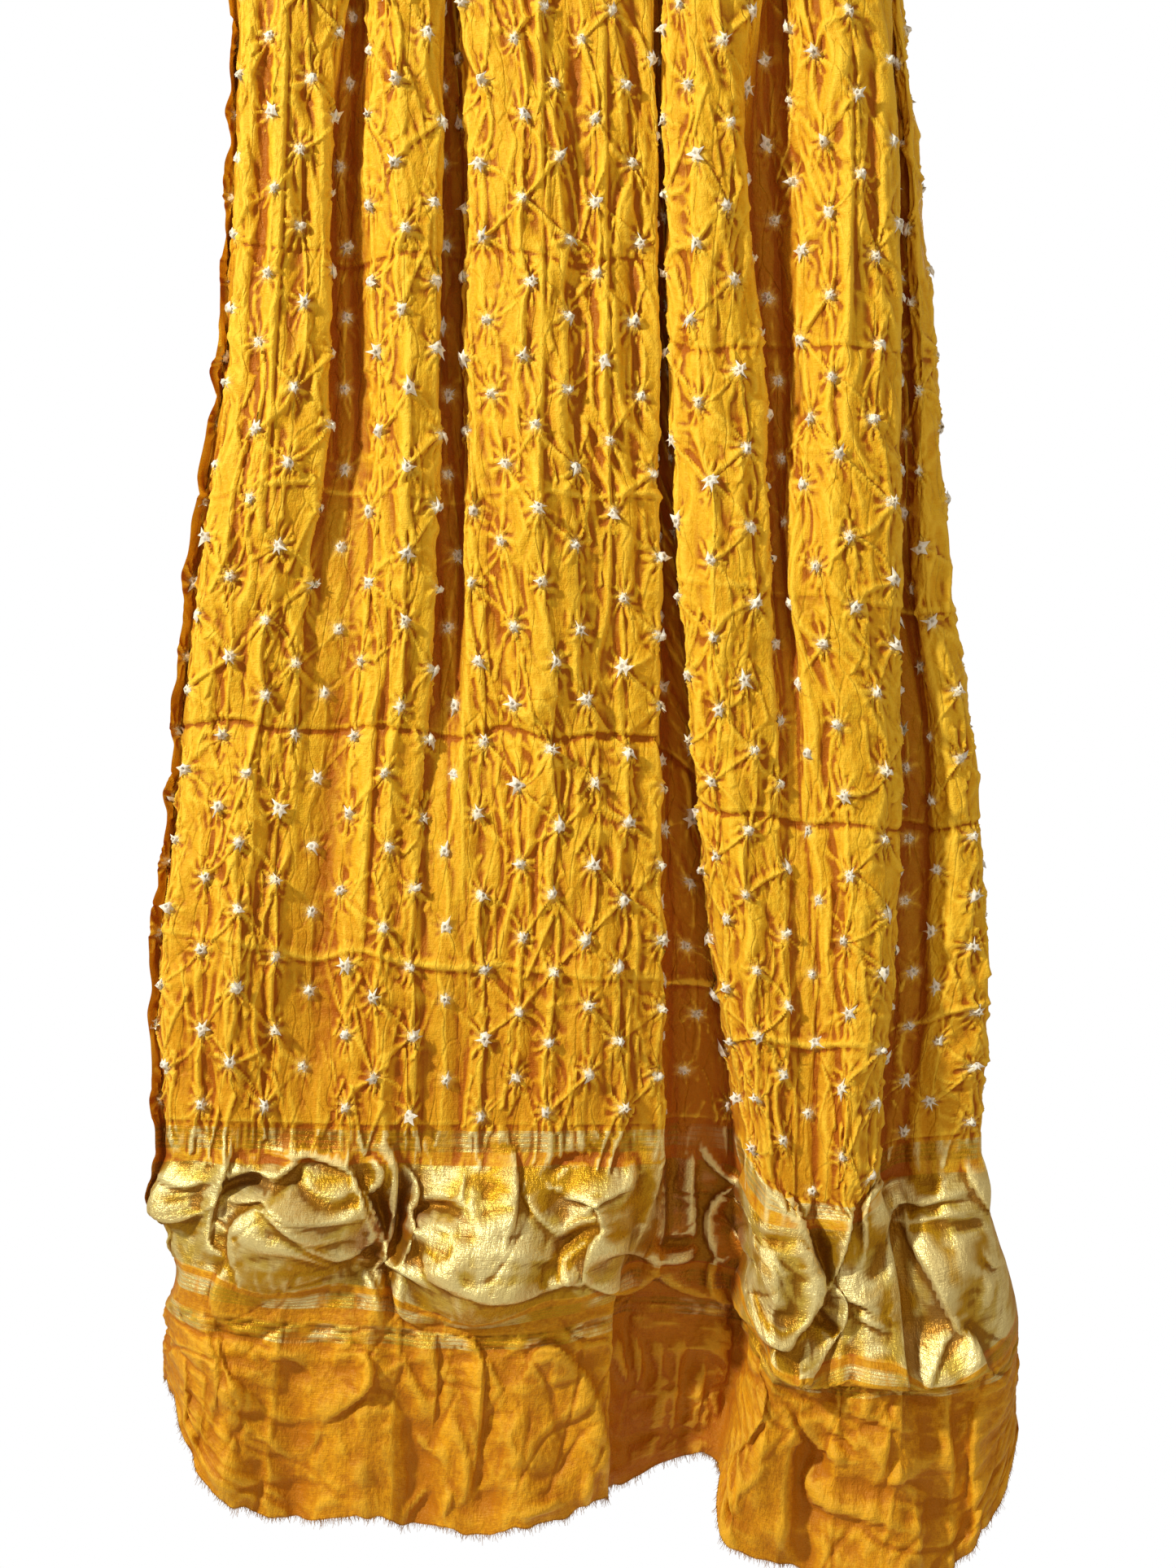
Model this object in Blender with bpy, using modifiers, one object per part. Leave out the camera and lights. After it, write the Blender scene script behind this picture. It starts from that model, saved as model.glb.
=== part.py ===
"""Bandhani cloth: one long silk cloth that hangs in uneven folds from its gathered top edge."""
from collections import namedtuple

import bmesh
import bpy
import numpy as np

# Driving sizes in millimetres. The tables below are in millimetres too.
MM = 0.001
CLOTH_THICKNESS = 1.6
FLAT_WIDTH = 810.0

# Places in the tables are as seen level from the front, this far from the foremost folds.
# A place further back is really a little further out from the middle of that view.
VIEW_DISTANCE = 1350.0
VIEW_MIDDLE_X = 17.0
VIEW_MIDDLE_DROP = 507.0

# Heights at which the fold tables give a number, as drops below the top edge.
LEVEL_DROPS = (0, 125, 250, 375, 500, 625, 725, 845, 975)

# The side strips turn back behind the outer folds. One row for each line down a strip:
# its place across (x) and its depth behind the front at every level.
Line = namedtuple("Line", "name x depth")
LEFT_STRIP = (
    Line("left selvedge", (-204, -205, -213, -230, -241, -252, -249, -213, -213),
         (30, 30, 28, 26, 26, 28, 30, 68, 72)),
    Line("left turn", (-199, -200, -207, -223, -235, -246, -244, -243, -242),
         (39, 39, 37, 34, 33, 33, 37, 50, 54)),
    Line("left shoulder", (-194, -195, -201, -218, -230, -241, -238, -229, -240),
         (17, 17, 15, 13, 13, 12, 12, 16, 20)),
)
RIGHT_STRIP = (
    Line("right outline", (206, 221, 230, 239, 255, 262, 258, 275, 268),
         (34, 32, 30, 28, 26, 24, 22, 20, 22)),
    Line("right turn", (199, 213, 226, 234, 248, 255, 255, 282, 280),
         (46, 46, 44, 42, 42, 42, 44, 46, 48)),
    Line("right selvedge", (181, 191, 203, 210, 222, 228, 228, 256, 256),
         (60, 60, 60, 60, 60, 60, 62, 66, 68)),
)

# The hanging folds from left to right, at every level: the fold's left and right edges,
# how far its crown lies behind the front, and the floor of the valley on its right.
Fold = namedtuple("Fold", "name left right crown floor_left floor_right floor_depth")
FOLDS = (
    Fold("fold 1",
         (-186, -187, -193, -208, -219, -228, -225, -218, -229),
         (-128, -141, -142, -156, -168, -175, -174, -173, -182),
         (8, 8, 7, 6, 5, 4, 3, 3, 6),
         (-125, -138, -136, -146, -153, -160, -158, -160, -169),
         (-120, -131, -127, -132, -142, -148, -146, -150, -158),
         (34, 34, 30, 16, 7, 5, 4, 5, 5)),
    Fold("fold 2",
         (-116, -113, -108, -110, -119, -125, -124, -131, -138),
         (-70, -72, -74, -77, -86, -88, -88, -99, -105),
         (3, 3, 2, 2, 2, 1, 0, -1, 0),
         (-68, -67, -69, -72, -77, -74, -74, -87, -92),
         (-63, -60, -60, -62, -70, -65, -65, -79, -84),
         (34, 34, 32, 24, 11, 5, 3, 3, 3)),
    Fold("fold 3",
         (-60, -54, -54, -56, -58, -50, -50, -66, -71),
         (57, 60, 60, 60, 60, 62, 64, 32, 30),
         (5, 4, 3, 2, 1, 0, 0, -2, 0),
         (60, 62, 62, 64, 66, 69, 72, 42, 40),
         (62, 64, 66, 72, 82, 94, 104, 106, 72),
         (26, 32, 34, 36, 36, 36, 38, 44, 46)),
    Fold("fold 4",
         (65, 67, 69, 76, 86, 102, 115, 119, 82),
         (126, 114, 124, 128, 132, 139, 144, 152, 132),
         (0, -1, -2, -3, -4, -6, -8, -8, -6),
         (130, 118, 128, 131, 140, 148, 151, 160, 144),
         (136, 126, 136, 137, 146, 153, 155, 164, 150),
         (30, 32, 28, 18, 3, -3, -6, -6, -4)),
    Fold("fold 5",
         (141, 154, 154, 143, 156, 164, 164, 174, 166),
         (203, 208, 210, 210, 209, 205, 196, 211, 221),
         (-3, -3, -4, -5, -6, -8, -12, -12, -8),
         (199, 209, 210, 211, 212, 208, 200, 218, 232),
         (201, 213, 215, 215, 224, 222, 210, 226, 240),
         (30, 36, 36, 36, 34, 28, 22, 10, 2)),
    Fold("fold 6",
         (204, 215, 219, 219, 233, 230, 220, 236, 248),
         (207, 219, 227, 235, 249, 256, 252, 268, 264),
         (24, 24, 22, 20, 18, 16, 14, 10, 8),
         None, None, None),
)

# Shape of one fold, as shares of its width or of the depth of the valley beside it.
SHOULDER_AT = 0.16
SHOULDER_SINK = 0.14
CROWN_AT = 0.45
NOSE_AT = 0.88
NOSE_SINK = 0.10
EDGE_SINK = 0.30
TUCK_SINK = 0.70
TUCK_ON = 0.35
TUCK_BACK = 0.12
CROWN_RISE = 0.05
# How far the threads follow the folds sideways at each level: 0 keeps them upright.
OWN_SHARE = 0.75

# How far each place across the cloth has dropped, as seen, at the named heights of the cloth.
HEIGHTS = (0, 115, 158, 268, 290, 408, 565)
HEIGHT_LEVELS = (8, 7, 7, 6, 6, 5, 4)
Hang = namedtuple("Hang", "place hem panel_top band_foot band_top stripe_top crease_2 crease_1")
HANGS = (
    Hang("left selvedge", 861, 817, 795, 739, 718, 599, 466),
    Hang("left turn", 870, 825, 798, 739, 718, 600, 467),
    Hang("left shoulder", 901, 838, 806, 739, 718, 602, 468),
    Hang("fold 1 crown", 950, 845, 812, 739, 719, 606, 470),
    Hang("fold 1 floor right", 958, 849, 815, 740, 720, 611, 472),
    Hang("fold 2 crown", 957, 850, 818, 741, 721, 615, 474),
    Hang("fold 2 floor right", 964, 852, 825, 742, 721, 618, 475),
    Hang("fold 3 shoulder", 967, 854, 828, 742, 721, 620, 475),
    Hang("fold 3 crown", 966, 853, 826, 742, 721, 621, 477),
    Hang("fold 3 edge", 944, 841, 812, 740, 720, 623, 479),
    Hang("fold 3 floor left", 936, 830, 800, 737, 716, 625, 488),
    Hang("fold 3 floor right", 919, 835, 805, 740, 718, 631, 505),
    Hang("fold 4 left", 928, 855, 825, 760, 735, 645, 520),
    Hang("fold 4 crown", 978, 875, 850, 775, 755, 660, 527),
    Hang("fold 4 floor right", 989, 881, 858, 780, 765, 666, 530),
    Hang("fold 5 crown", 993, 883, 859, 778, 763, 668, 533),
    Hang("fold 5 edge", 991, 881, 857, 760, 740, 664, 535),
    Hang("fold 5 floor right", 989, 881, 857, 748, 729, 655, 534),
    Hang("fold 6 crown", 975, 877, 852, 746, 727, 645, 532),
    Hang("right outline", 948, 870, 845, 745, 725, 642, 530),
    Hang("right turn", 908, 850, 830, 745, 725, 640, 529),
    Hang("right selvedge", 885, 840, 820, 745, 725, 640, 528),
)
LENGTH_PER_DROP_ABOVE_CREASE_1 = 1.06

# Creases from packing fold the cloth back and forth between these heights (mm above the hem).
Crease = namedtuple("Crease", "height depth")
CREASES = (
    Crease(268, 0.0), Crease(408, -5.0), Crease(565, 5.0),
    Crease(722, -3.5), Crease(879, 3.0), Crease(1060, 0.0),
)

# The stiff metal-thread band is bunched up into pouches that bulge forward and sag.
Pouch = namedtuple("Pouch", "name across half_width forward sag")
POUCHES = (
    Pouch("side pouch", 20, 25, 6, 8),
    Pouch("pouch 1", 133, 48, 19, 12),
    Pouch("crinkle", 200, 24, -9, 0),
    Pouch("pouch 2", 279, 62, 24, 17),
    Pouch("pouch 3", 365, 36, 12, 6),
    Pouch("twist", 549, 44, 9, 12),
    Pouch("pouch 4", 706, 62, 12, 10),
)
POUCH_FOOT = 138.0
POUCH_TOP = 280.0
SAG_MIDDLE = 176.0
SAG_REACH = 52.0
POUCH_ROUNDNESS = 1.4

# Soft upright swells (forward above 0) and dips (below 0) on the wide folds and the end panel.
Swell = namedtuple("Swell", "name across half_width forward foot head")
SWELLS = (
    Swell("fold 3 left swell", 311, 28, 5, 500, 1200),
    Swell("fold 3 dip", 365, 25, -5, 540, 1200),
    Swell("left lower swell", 90, 32, 5, 300, 560),
    Swell("left lower dip", 150, 30, -6, 300, 640),
    Swell("middle lower swell", 247, 28, 5, 320, 600),
    Swell("middle lower dip", 330, 34, -4, 300, 520),
    Swell("lobe swell", 622, 32, 5, 300, 620),
    Swell("panel fold 1", 111, 28, 8, -80, 110),
    Swell("panel dip 1", 160, 22, -6, -80, 120),
    Swell("panel fold 2", 252, 22, -7, -80, 110),
    Swell("panel fold 3", 328, 32, 8, -80, 90),
    Swell("recess fold", 476, 20, 6, -80, 160),
    Swell("lobe panel fold", 593, 20, -6, -80, 130),
    Swell("lobe panel swell", 665, 38, 8, -80, 140),
)
SWELL_FADE = 70.0

# Rows and columns of the solid's surface.
Zone = namedtuple("Zone", "foot rows")
ZONES = (
    Zone(0, 5), Zone(115, 3), Zone(158, 8), Zone(268, 1), Zone(290, 4),
    Zone(408, 4), Zone(565, 4), Zone(722, 6),
)
COLUMN_STEP = 13.0

SILK_COLOUR = (0.80, 0.36, 0.03, 1.0)
SILK_ROUGHNESS = 0.42


def clear_scene():
    for scene_object in list(bpy.data.objects):
        bpy.data.objects.remove(scene_object, do_unlink=True)


def steady_slopes(knots, values):
    """Slopes along axis 0 that never overshoot between two neighbouring values."""
    step = np.diff(knots, axis=0)
    rise = np.diff(values, axis=0) / step
    slopes = np.zeros_like(values)
    before, after = rise[:-1], rise[1:]
    same_way = before * after > 0
    weight_before = 2 * step[1:] + step[:-1]
    weight_after = step[1:] + 2 * step[:-1]
    safe_before = np.where(same_way, before, 1.0)
    safe_after = np.where(same_way, after, 1.0)
    mean = (weight_before + weight_after) / (weight_before / safe_before + weight_after / safe_after)
    slopes[1:-1] = np.where(same_way, mean, 0.0)
    slopes[0] = rise[0]
    slopes[-1] = rise[-1]
    return slopes


def flowing(knots, values, at):
    """Smooth curves through values (axis 0) at knots, read at the places in at."""
    values = np.asarray(values, float)
    knots = np.asarray(knots, float).reshape((len(knots), -1)) + np.zeros(values.shape)
    at = np.asarray(at, float)
    slopes = steady_slopes(knots, values)
    cell = np.zeros(at.shape, int)
    for knot in knots[1:-1]:
        cell += at >= knot
    low = np.take_along_axis(knots, cell, axis=0)
    width = np.take_along_axis(knots, cell + 1, axis=0) - low
    part = (at - low) / width
    part = np.clip(part, 0.0, 1.0)
    value_low = np.take_along_axis(values, cell, axis=0)
    value_high = np.take_along_axis(values, cell + 1, axis=0)
    slope_low = np.take_along_axis(slopes, cell, axis=0) * width
    slope_high = np.take_along_axis(slopes, cell + 1, axis=0) * width
    rest = 1.0 - part
    return (value_low * rest * rest * (1 + 2 * part) + value_high * part * part * (3 - 2 * part)
            + slope_low * part * rest * rest - slope_high * part * part * rest)


def fold_lines(fold, depth_before):
    """The lines down one fold, from its left edge to the floor of the valley on its right."""
    left = np.array(fold.left, float)
    right = np.array(fold.right, float)
    crown = np.array(fold.crown, float)
    width = right - left
    rise_left = depth_before - crown
    lines = [
        (fold.name + " left", left, crown + EDGE_SINK * rise_left),
        (fold.name + " shoulder", left + SHOULDER_AT * width, crown + SHOULDER_SINK * rise_left),
        (fold.name + " crown", left + CROWN_AT * width, crown - CROWN_RISE * width),
    ]
    if fold.floor_depth is None:
        return lines, None
    floor_left = np.array(fold.floor_left, float)
    floor_depth = np.array(fold.floor_depth, float)
    rise_right = floor_depth - crown
    lines += [
        (fold.name + " nose", left + NOSE_AT * width, crown + NOSE_SINK * rise_right),
        (fold.name + " edge", right, crown + EDGE_SINK * rise_right),
        (fold.name + " tuck", right + TUCK_ON * (floor_left - right) - TUCK_BACK * rise_right,
         crown + TUCK_SINK * rise_right),
        (fold.name + " floor left", floor_left, floor_depth),
        (fold.name + " floor right", np.array(fold.floor_right, float), floor_depth),
    ]
    return lines, floor_depth


def all_lines():
    """Every line down the cloth from selvedge to selvedge: names, places across and depths."""
    lines = [(line.name, np.array(line.x, float), np.array(line.depth, float)) for line in LEFT_STRIP]
    depth_before = lines[-1][2]
    for fold in FOLDS:
        new_lines, floor_depth = fold_lines(fold, depth_before)
        lines += new_lines
        if floor_depth is not None:
            depth_before = floor_depth
    lines += [(line.name, np.array(line.x, float), np.array(line.depth, float)) for line in RIGHT_STRIP]
    names = [line[0] for line in lines]
    return names, np.array([line[1] for line in lines]), np.array([line[2] for line in lines])


def flat_places(across, depth):
    """Where each line lies across the flat cloth at every level, from its share of the section."""
    lengths = np.hypot(np.diff(across, axis=0), np.diff(depth, axis=0))
    shares = lengths / lengths.sum(axis=0)
    shares = OWN_SHARE * shares + (1 - OWN_SHARE) * shares.mean(axis=1, keepdims=True)
    return FLAT_WIDTH * np.vstack([np.zeros(len(LEVEL_DROPS)), np.cumsum(shares, axis=0)])


def pouch_shape(across, height):
    """How far the bunched band bulges forward and how far it sags."""
    rise = np.clip((height - POUCH_FOOT) / (POUCH_TOP - POUCH_FOOT), 0.0, 1.0)
    bulge_height = np.sin(np.pi * rise) ** POUCH_ROUNDNESS
    near = np.clip(1.0 - np.abs(height - SAG_MIDDLE) / SAG_REACH, 0.0, 1.0)
    sag_height = near * near * (3 - 2 * near)
    forward = np.zeros_like(height)
    sag = np.zeros_like(height)
    for pouch in POUCHES:
        beside = np.clip(np.abs(across - pouch.across) / pouch.half_width, 0.0, 1.0)
        bump = np.cos(0.5 * np.pi * beside) ** POUCH_ROUNDNESS
        forward += pouch.forward * bump * bulge_height
        sag += pouch.sag * bump * sag_height
    return forward, sag


def swell_shape(across, height):
    """How far the soft upright swells stand forward."""
    forward = np.zeros_like(height)
    for swell in SWELLS:
        beside = np.clip(np.abs(across - swell.across) / swell.half_width, 0.0, 1.0)
        inside = np.minimum(height - swell.foot, swell.head - height) / SWELL_FADE
        strength = np.clip(inside, 0.0, 1.0)
        forward += swell.forward * np.cos(0.5 * np.pi * beside) ** 2 * strength
    return forward


def surface_grid():
    """Points of the hanging cloth's middle surface: rows from the hem up, columns across."""
    names, line_across, line_depth = all_lines()
    line_flat = flat_places(line_across, line_depth)

    columns = []
    mean_flat = line_flat.mean(axis=1)
    for start, end in zip(mean_flat[:-1], mean_flat[1:]):
        steps = max(1, int(round((end - start) / COLUMN_STEP)))
        columns += list(np.linspace(start, end, steps, endpoint=False))
    columns = np.array(columns + [FLAT_WIDTH])

    column_across = flowing(line_flat, line_across, np.repeat(columns[:, None], len(LEVEL_DROPS), 1))
    column_depth = flowing(line_flat, line_depth, np.repeat(columns[:, None], len(LEVEL_DROPS), 1))

    hang_flat = np.array([line_flat[names.index(hang.place)][list(HEIGHT_LEVELS)] for hang in HANGS])
    hang_drops = np.array([hang[1:] for hang in HANGS], float)
    column_drops = flowing(hang_flat, hang_drops, np.repeat(columns[:, None], len(HEIGHTS), 1))
    top_height = HEIGHTS[-1] + LENGTH_PER_DROP_ABOVE_CREASE_1 * column_drops[:, -1]

    feet = [np.full(len(columns), float(zone.foot)) for zone in ZONES] + [top_height]
    heights = []
    for zone, foot, head in zip(ZONES, feet[:-1], feet[1:]):
        for row in range(zone.rows):
            heights.append(foot + (head - foot) * row / zone.rows)
    heights = np.array(heights + [top_height])

    knots = np.vstack([np.repeat(np.array(HEIGHTS, float)[:, None], len(columns), 1), top_height])
    drops = np.vstack([column_drops.T, np.zeros(len(columns))])
    drop = flowing(knots, drops, heights)
    across = flowing(LEVEL_DROPS, column_across.T, drop)
    depth = flowing(LEVEL_DROPS, column_depth.T, drop)

    flat_across = np.repeat(columns[None, :], len(heights), 0)
    forward, sag = pouch_shape(flat_across, heights)
    forward += swell_shape(flat_across, heights)
    depth += np.interp(heights, [crease.height for crease in CREASES], [crease.depth for crease in CREASES])
    depth -= forward
    drop += sag

    spread = depth / VIEW_DISTANCE
    x = across + (across - VIEW_MIDDLE_X) * spread
    z = -drop - np.clip(drop - VIEW_MIDDLE_DROP, 0.0, None) * spread
    return np.stack([x, depth, z], axis=-1) * MM


def silk_material():
    material = bpy.data.materials.new("saffron_silk")
    material.use_nodes = True
    shader = material.node_tree.nodes["Principled BSDF"]
    shader.inputs["Base Color"].default_value = SILK_COLOUR
    shader.inputs["Roughness"].default_value = SILK_ROUGHNESS
    shader.inputs["Metallic"].default_value = 0.0
    return material


def hanging_cloth(collection):
    points = surface_grid()
    rows, columns = points.shape[:2]
    mesh = bpy.data.meshes.new("cloth")
    grid = bmesh.new()
    bmesh.ops.create_grid(grid, x_segments=columns - 1, y_segments=rows - 1, size=1.0)
    ordered = sorted(grid.verts, key=lambda vertex: (round(vertex.co.y, 5), vertex.co.x))
    for vertex, place in zip(ordered, points.reshape(-1, 3)):
        vertex.co = place
    grid.to_mesh(mesh)
    grid.free()
    mesh.shade_smooth()
    mesh.materials.append(silk_material())
    cloth = bpy.data.objects.new("cloth", mesh)
    collection.objects.link(cloth)
    sheet = cloth.modifiers.new("thickness", "SOLIDIFY")
    sheet.thickness = CLOTH_THICKNESS * MM
    sheet.offset = 0.0
    return cloth


def main():
    clear_scene()
    collection = bpy.data.collections.new("bandhani cloth")
    bpy.context.scene.collection.children.link(collection)
    hanging_cloth(collection)


main()
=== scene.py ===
"""The looks of the bandhani cloth: its crinkled silk, tied dots, woven bands and frayed hem."""
import math
from collections import namedtuple

import bpy
import numpy as np
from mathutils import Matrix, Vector


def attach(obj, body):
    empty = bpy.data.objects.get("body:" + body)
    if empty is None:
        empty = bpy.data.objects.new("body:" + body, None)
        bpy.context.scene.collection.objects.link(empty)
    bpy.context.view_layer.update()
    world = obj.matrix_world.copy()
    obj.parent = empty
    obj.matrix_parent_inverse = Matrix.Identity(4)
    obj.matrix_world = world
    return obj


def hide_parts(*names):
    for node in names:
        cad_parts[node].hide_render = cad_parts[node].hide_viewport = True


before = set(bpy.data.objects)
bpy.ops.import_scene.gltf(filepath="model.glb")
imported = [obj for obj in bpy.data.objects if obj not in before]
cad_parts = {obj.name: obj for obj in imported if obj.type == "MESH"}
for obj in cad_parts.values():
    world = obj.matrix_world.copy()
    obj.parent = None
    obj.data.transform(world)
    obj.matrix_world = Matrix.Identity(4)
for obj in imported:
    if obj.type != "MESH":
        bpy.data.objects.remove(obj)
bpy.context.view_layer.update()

MM = 0.001
SEED = 7

# The hanging cloth. Tables are in millimetres, as seen level from the front, VIEW_DISTANCE
# from the foremost folds. A place further back is really further out from the view's middle.
FLAT_WIDTH = 810.0
VIEW_DISTANCE = 1350.0
VIEW_MIDDLE_X = 17.0
VIEW_MIDDLE_DROP = 507.0
VIEW_HEIGHT = 963.5
SENSOR_HEIGHT = 24.0
CAMERA_SHIFT = 0.25

# Drops below the top edge at which the fold tables give a number.
LEVEL_DROPS = (0, 125, 250, 375, 500, 625, 725, 845, 975)

Line = namedtuple("Line", "name x depth")
LEFT_STRIP = (
    Line("left selvedge", (-204, -205, -213, -230, -241, -252, -249, -213, -213),
         (30, 30, 28, 26, 26, 28, 30, 68, 72)),
    Line("left turn", (-199, -200, -207, -223, -235, -246, -244, -243, -242),
         (39, 39, 37, 34, 33, 33, 37, 50, 54)),
    Line("left shoulder", (-194, -195, -201, -218, -230, -241, -238, -229, -240),
         (17, 17, 15, 13, 13, 12, 12, 16, 20)),
)
RIGHT_STRIP = (
    Line("right outline", (206, 221, 230, 239, 255, 262, 258, 275, 268),
         (34, 32, 30, 28, 26, 24, 22, 20, 22)),
    Line("right turn", (199, 213, 226, 234, 248, 255, 255, 282, 280),
         (46, 46, 44, 42, 42, 42, 44, 46, 48)),
    Line("right selvedge", (181, 191, 203, 210, 222, 228, 228, 256, 256),
         (60, 60, 60, 60, 60, 60, 62, 66, 68)),
)

Fold = namedtuple("Fold", "name left right crown floor_left floor_right floor_depth")
FOLDS = (
    Fold("fold 1",
         (-186, -187, -193, -208, -219, -228, -225, -218, -229),
         (-128, -141, -142, -156, -168, -175, -174, -173, -182),
         (8, 8, 7, 6, 5, 4, 3, 3, 6),
         (-125, -138, -136, -146, -153, -160, -158, -160, -169),
         (-120, -131, -127, -132, -142, -148, -146, -150, -158),
         (34, 34, 30, 16, 7, 5, 4, 5, 5)),
    Fold("fold 2",
         (-116, -113, -108, -110, -119, -125, -124, -131, -138),
         (-70, -72, -74, -77, -86, -88, -88, -99, -105),
         (3, 3, 2, 2, 2, 1, 0, -1, 0),
         (-68, -67, -69, -72, -77, -74, -74, -87, -92),
         (-63, -60, -60, -62, -70, -65, -65, -79, -84),
         (34, 34, 32, 24, 11, 5, 3, 3, 3)),
    Fold("fold 3",
         (-60, -54, -54, -56, -58, -50, -50, -66, -71),
         (57, 60, 60, 60, 60, 62, 64, 32, 30),
         (5, 4, 3, 2, 1, 0, 0, -2, 0),
         (60, 62, 62, 64, 66, 69, 72, 42, 40),
         (62, 64, 66, 72, 82, 94, 104, 106, 72),
         (26, 32, 34, 36, 36, 36, 38, 44, 46)),
    Fold("fold 4",
         (65, 67, 69, 76, 86, 102, 115, 119, 82),
         (126, 114, 124, 128, 132, 139, 144, 152, 132),
         (0, -1, -2, -3, -4, -6, -8, -8, -6),
         (130, 118, 128, 131, 140, 148, 151, 160, 144),
         (136, 126, 136, 137, 146, 153, 155, 164, 150),
         (30, 32, 28, 18, 3, -3, -6, -6, -4)),
    Fold("fold 5",
         (141, 154, 154, 143, 156, 164, 164, 174, 166),
         (203, 208, 210, 210, 209, 205, 196, 211, 221),
         (-3, -3, -4, -5, -6, -8, -12, -12, -8),
         (199, 209, 210, 211, 212, 208, 200, 218, 232),
         (201, 213, 215, 215, 224, 222, 210, 226, 240),
         (30, 36, 36, 36, 34, 28, 22, 10, 2)),
    Fold("fold 6",
         (204, 215, 219, 219, 233, 230, 220, 236, 248),
         (207, 219, 227, 235, 249, 256, 252, 268, 264),
         (24, 24, 22, 20, 18, 16, 14, 10, 8),
         None, None, None),
)

SHOULDER_AT = 0.16
SHOULDER_SINK = 0.14
CROWN_AT = 0.45
NOSE_AT = 0.88
NOSE_SINK = 0.10
EDGE_SINK = 0.30
TUCK_SINK = 0.70
TUCK_ON = 0.35
TUCK_BACK = 0.12
CROWN_RISE = 0.05
# How far the threads follow the folds sideways at each level: 0 keeps them upright.
OWN_SHARE = 0.75

# Drops of each place across the cloth at the named heights above the hem.
HEM, PANEL_TOP, BAND_FOOT, BAND_TOP, STRIPE_TOP = 0, 115, 158, 268, 290
CREASE_2, CREASE_1, CREASE_0, TOP_CREASE = 408, 565, 722, 879
HEIGHTS = (HEM, PANEL_TOP, BAND_FOOT, BAND_TOP, STRIPE_TOP, CREASE_2, CREASE_1)
HEIGHT_LEVELS = (8, 7, 7, 6, 6, 5, 4)
Hang = namedtuple("Hang", "place hem panel_top band_foot band_top stripe_top crease_2 crease_1")
HANGS = (
    Hang("left selvedge", 861, 817, 795, 739, 718, 599, 466),
    Hang("left turn", 870, 825, 798, 739, 718, 600, 467),
    Hang("left shoulder", 901, 838, 806, 739, 718, 602, 468),
    Hang("fold 1 crown", 950, 845, 812, 739, 719, 606, 470),
    Hang("fold 1 floor right", 958, 849, 815, 740, 720, 611, 472),
    Hang("fold 2 crown", 957, 850, 818, 741, 721, 615, 474),
    Hang("fold 2 floor right", 964, 852, 825, 742, 721, 618, 475),
    Hang("fold 3 shoulder", 967, 854, 828, 742, 721, 620, 475),
    Hang("fold 3 crown", 966, 853, 826, 742, 721, 621, 477),
    Hang("fold 3 edge", 944, 841, 812, 740, 720, 623, 479),
    Hang("fold 3 floor left", 936, 830, 800, 737, 716, 625, 488),
    Hang("fold 3 floor right", 919, 835, 805, 740, 718, 631, 505),
    Hang("fold 4 left", 928, 855, 825, 760, 735, 645, 520),
    Hang("fold 4 crown", 978, 875, 850, 775, 755, 660, 527),
    Hang("fold 4 floor right", 989, 881, 858, 780, 765, 666, 530),
    Hang("fold 5 crown", 993, 883, 859, 778, 763, 668, 533),
    Hang("fold 5 edge", 991, 881, 857, 760, 740, 664, 535),
    Hang("fold 5 floor right", 989, 881, 857, 748, 729, 655, 534),
    Hang("fold 6 crown", 975, 877, 852, 746, 727, 645, 532),
    Hang("right outline", 948, 870, 845, 745, 725, 642, 530),
    Hang("right turn", 908, 850, 830, 745, 725, 640, 529),
    Hang("right selvedge", 885, 840, 820, 745, 725, 640, 528),
)
LENGTH_PER_DROP_ABOVE_CREASE_1 = 1.06

Crease = namedtuple("Crease", "height depth")
CREASES = (
    Crease(BAND_TOP, 0.0), Crease(CREASE_2, -5.0), Crease(CREASE_1, 5.0),
    Crease(CREASE_0, -3.5), Crease(TOP_CREASE, 3.0), Crease(1060, 0.0),
)

Pouch = namedtuple("Pouch", "name across half_width forward sag")
POUCHES = (
    Pouch("side pouch", 20, 25, 6, 8),
    Pouch("pouch 1", 133, 48, 19, 12),
    Pouch("crinkle", 200, 24, -9, 0),
    Pouch("pouch 2", 279, 62, 24, 17),
    Pouch("pouch 3", 365, 36, 12, 6),
    Pouch("twist", 549, 44, 9, 12),
    Pouch("pouch 4", 706, 62, 12, 10),
)
POUCH_FOOT = 138.0
POUCH_TOP = 280.0
SAG_MIDDLE = 176.0
SAG_REACH = 52.0
POUCH_ROUNDNESS = 1.4

Swell = namedtuple("Swell", "name across half_width forward foot head")
SWELLS = (
    Swell("fold 3 left swell", 311, 28, 5, 500, 1200),
    Swell("fold 3 dip", 365, 25, -5, 540, 1200),
    Swell("left lower swell", 90, 32, 5, 300, 560),
    Swell("left lower dip", 150, 30, -6, 300, 640),
    Swell("middle lower swell", 247, 28, 5, 320, 600),
    Swell("middle lower dip", 330, 34, -4, 300, 520),
    Swell("lobe swell", 622, 32, 5, 300, 620),
    Swell("panel fold 1", 111, 28, 8, -80, 110),
    Swell("panel dip 1", 160, 22, -6, -80, 120),
    Swell("panel fold 2", 252, 22, -7, -80, 110),
    Swell("panel fold 3", 328, 32, 8, -80, 90),
    Swell("recess fold", 476, 20, 6, -80, 160),
    Swell("lobe panel fold", 593, 20, -6, -80, 130),
    Swell("lobe panel swell", 665, 38, 8, -80, 140),
)
SWELL_FADE = 70.0

# The fine surface: the pitch of its grid of threads.
STEP_ACROSS = 1.35
STEP_UP = 1.6
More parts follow.
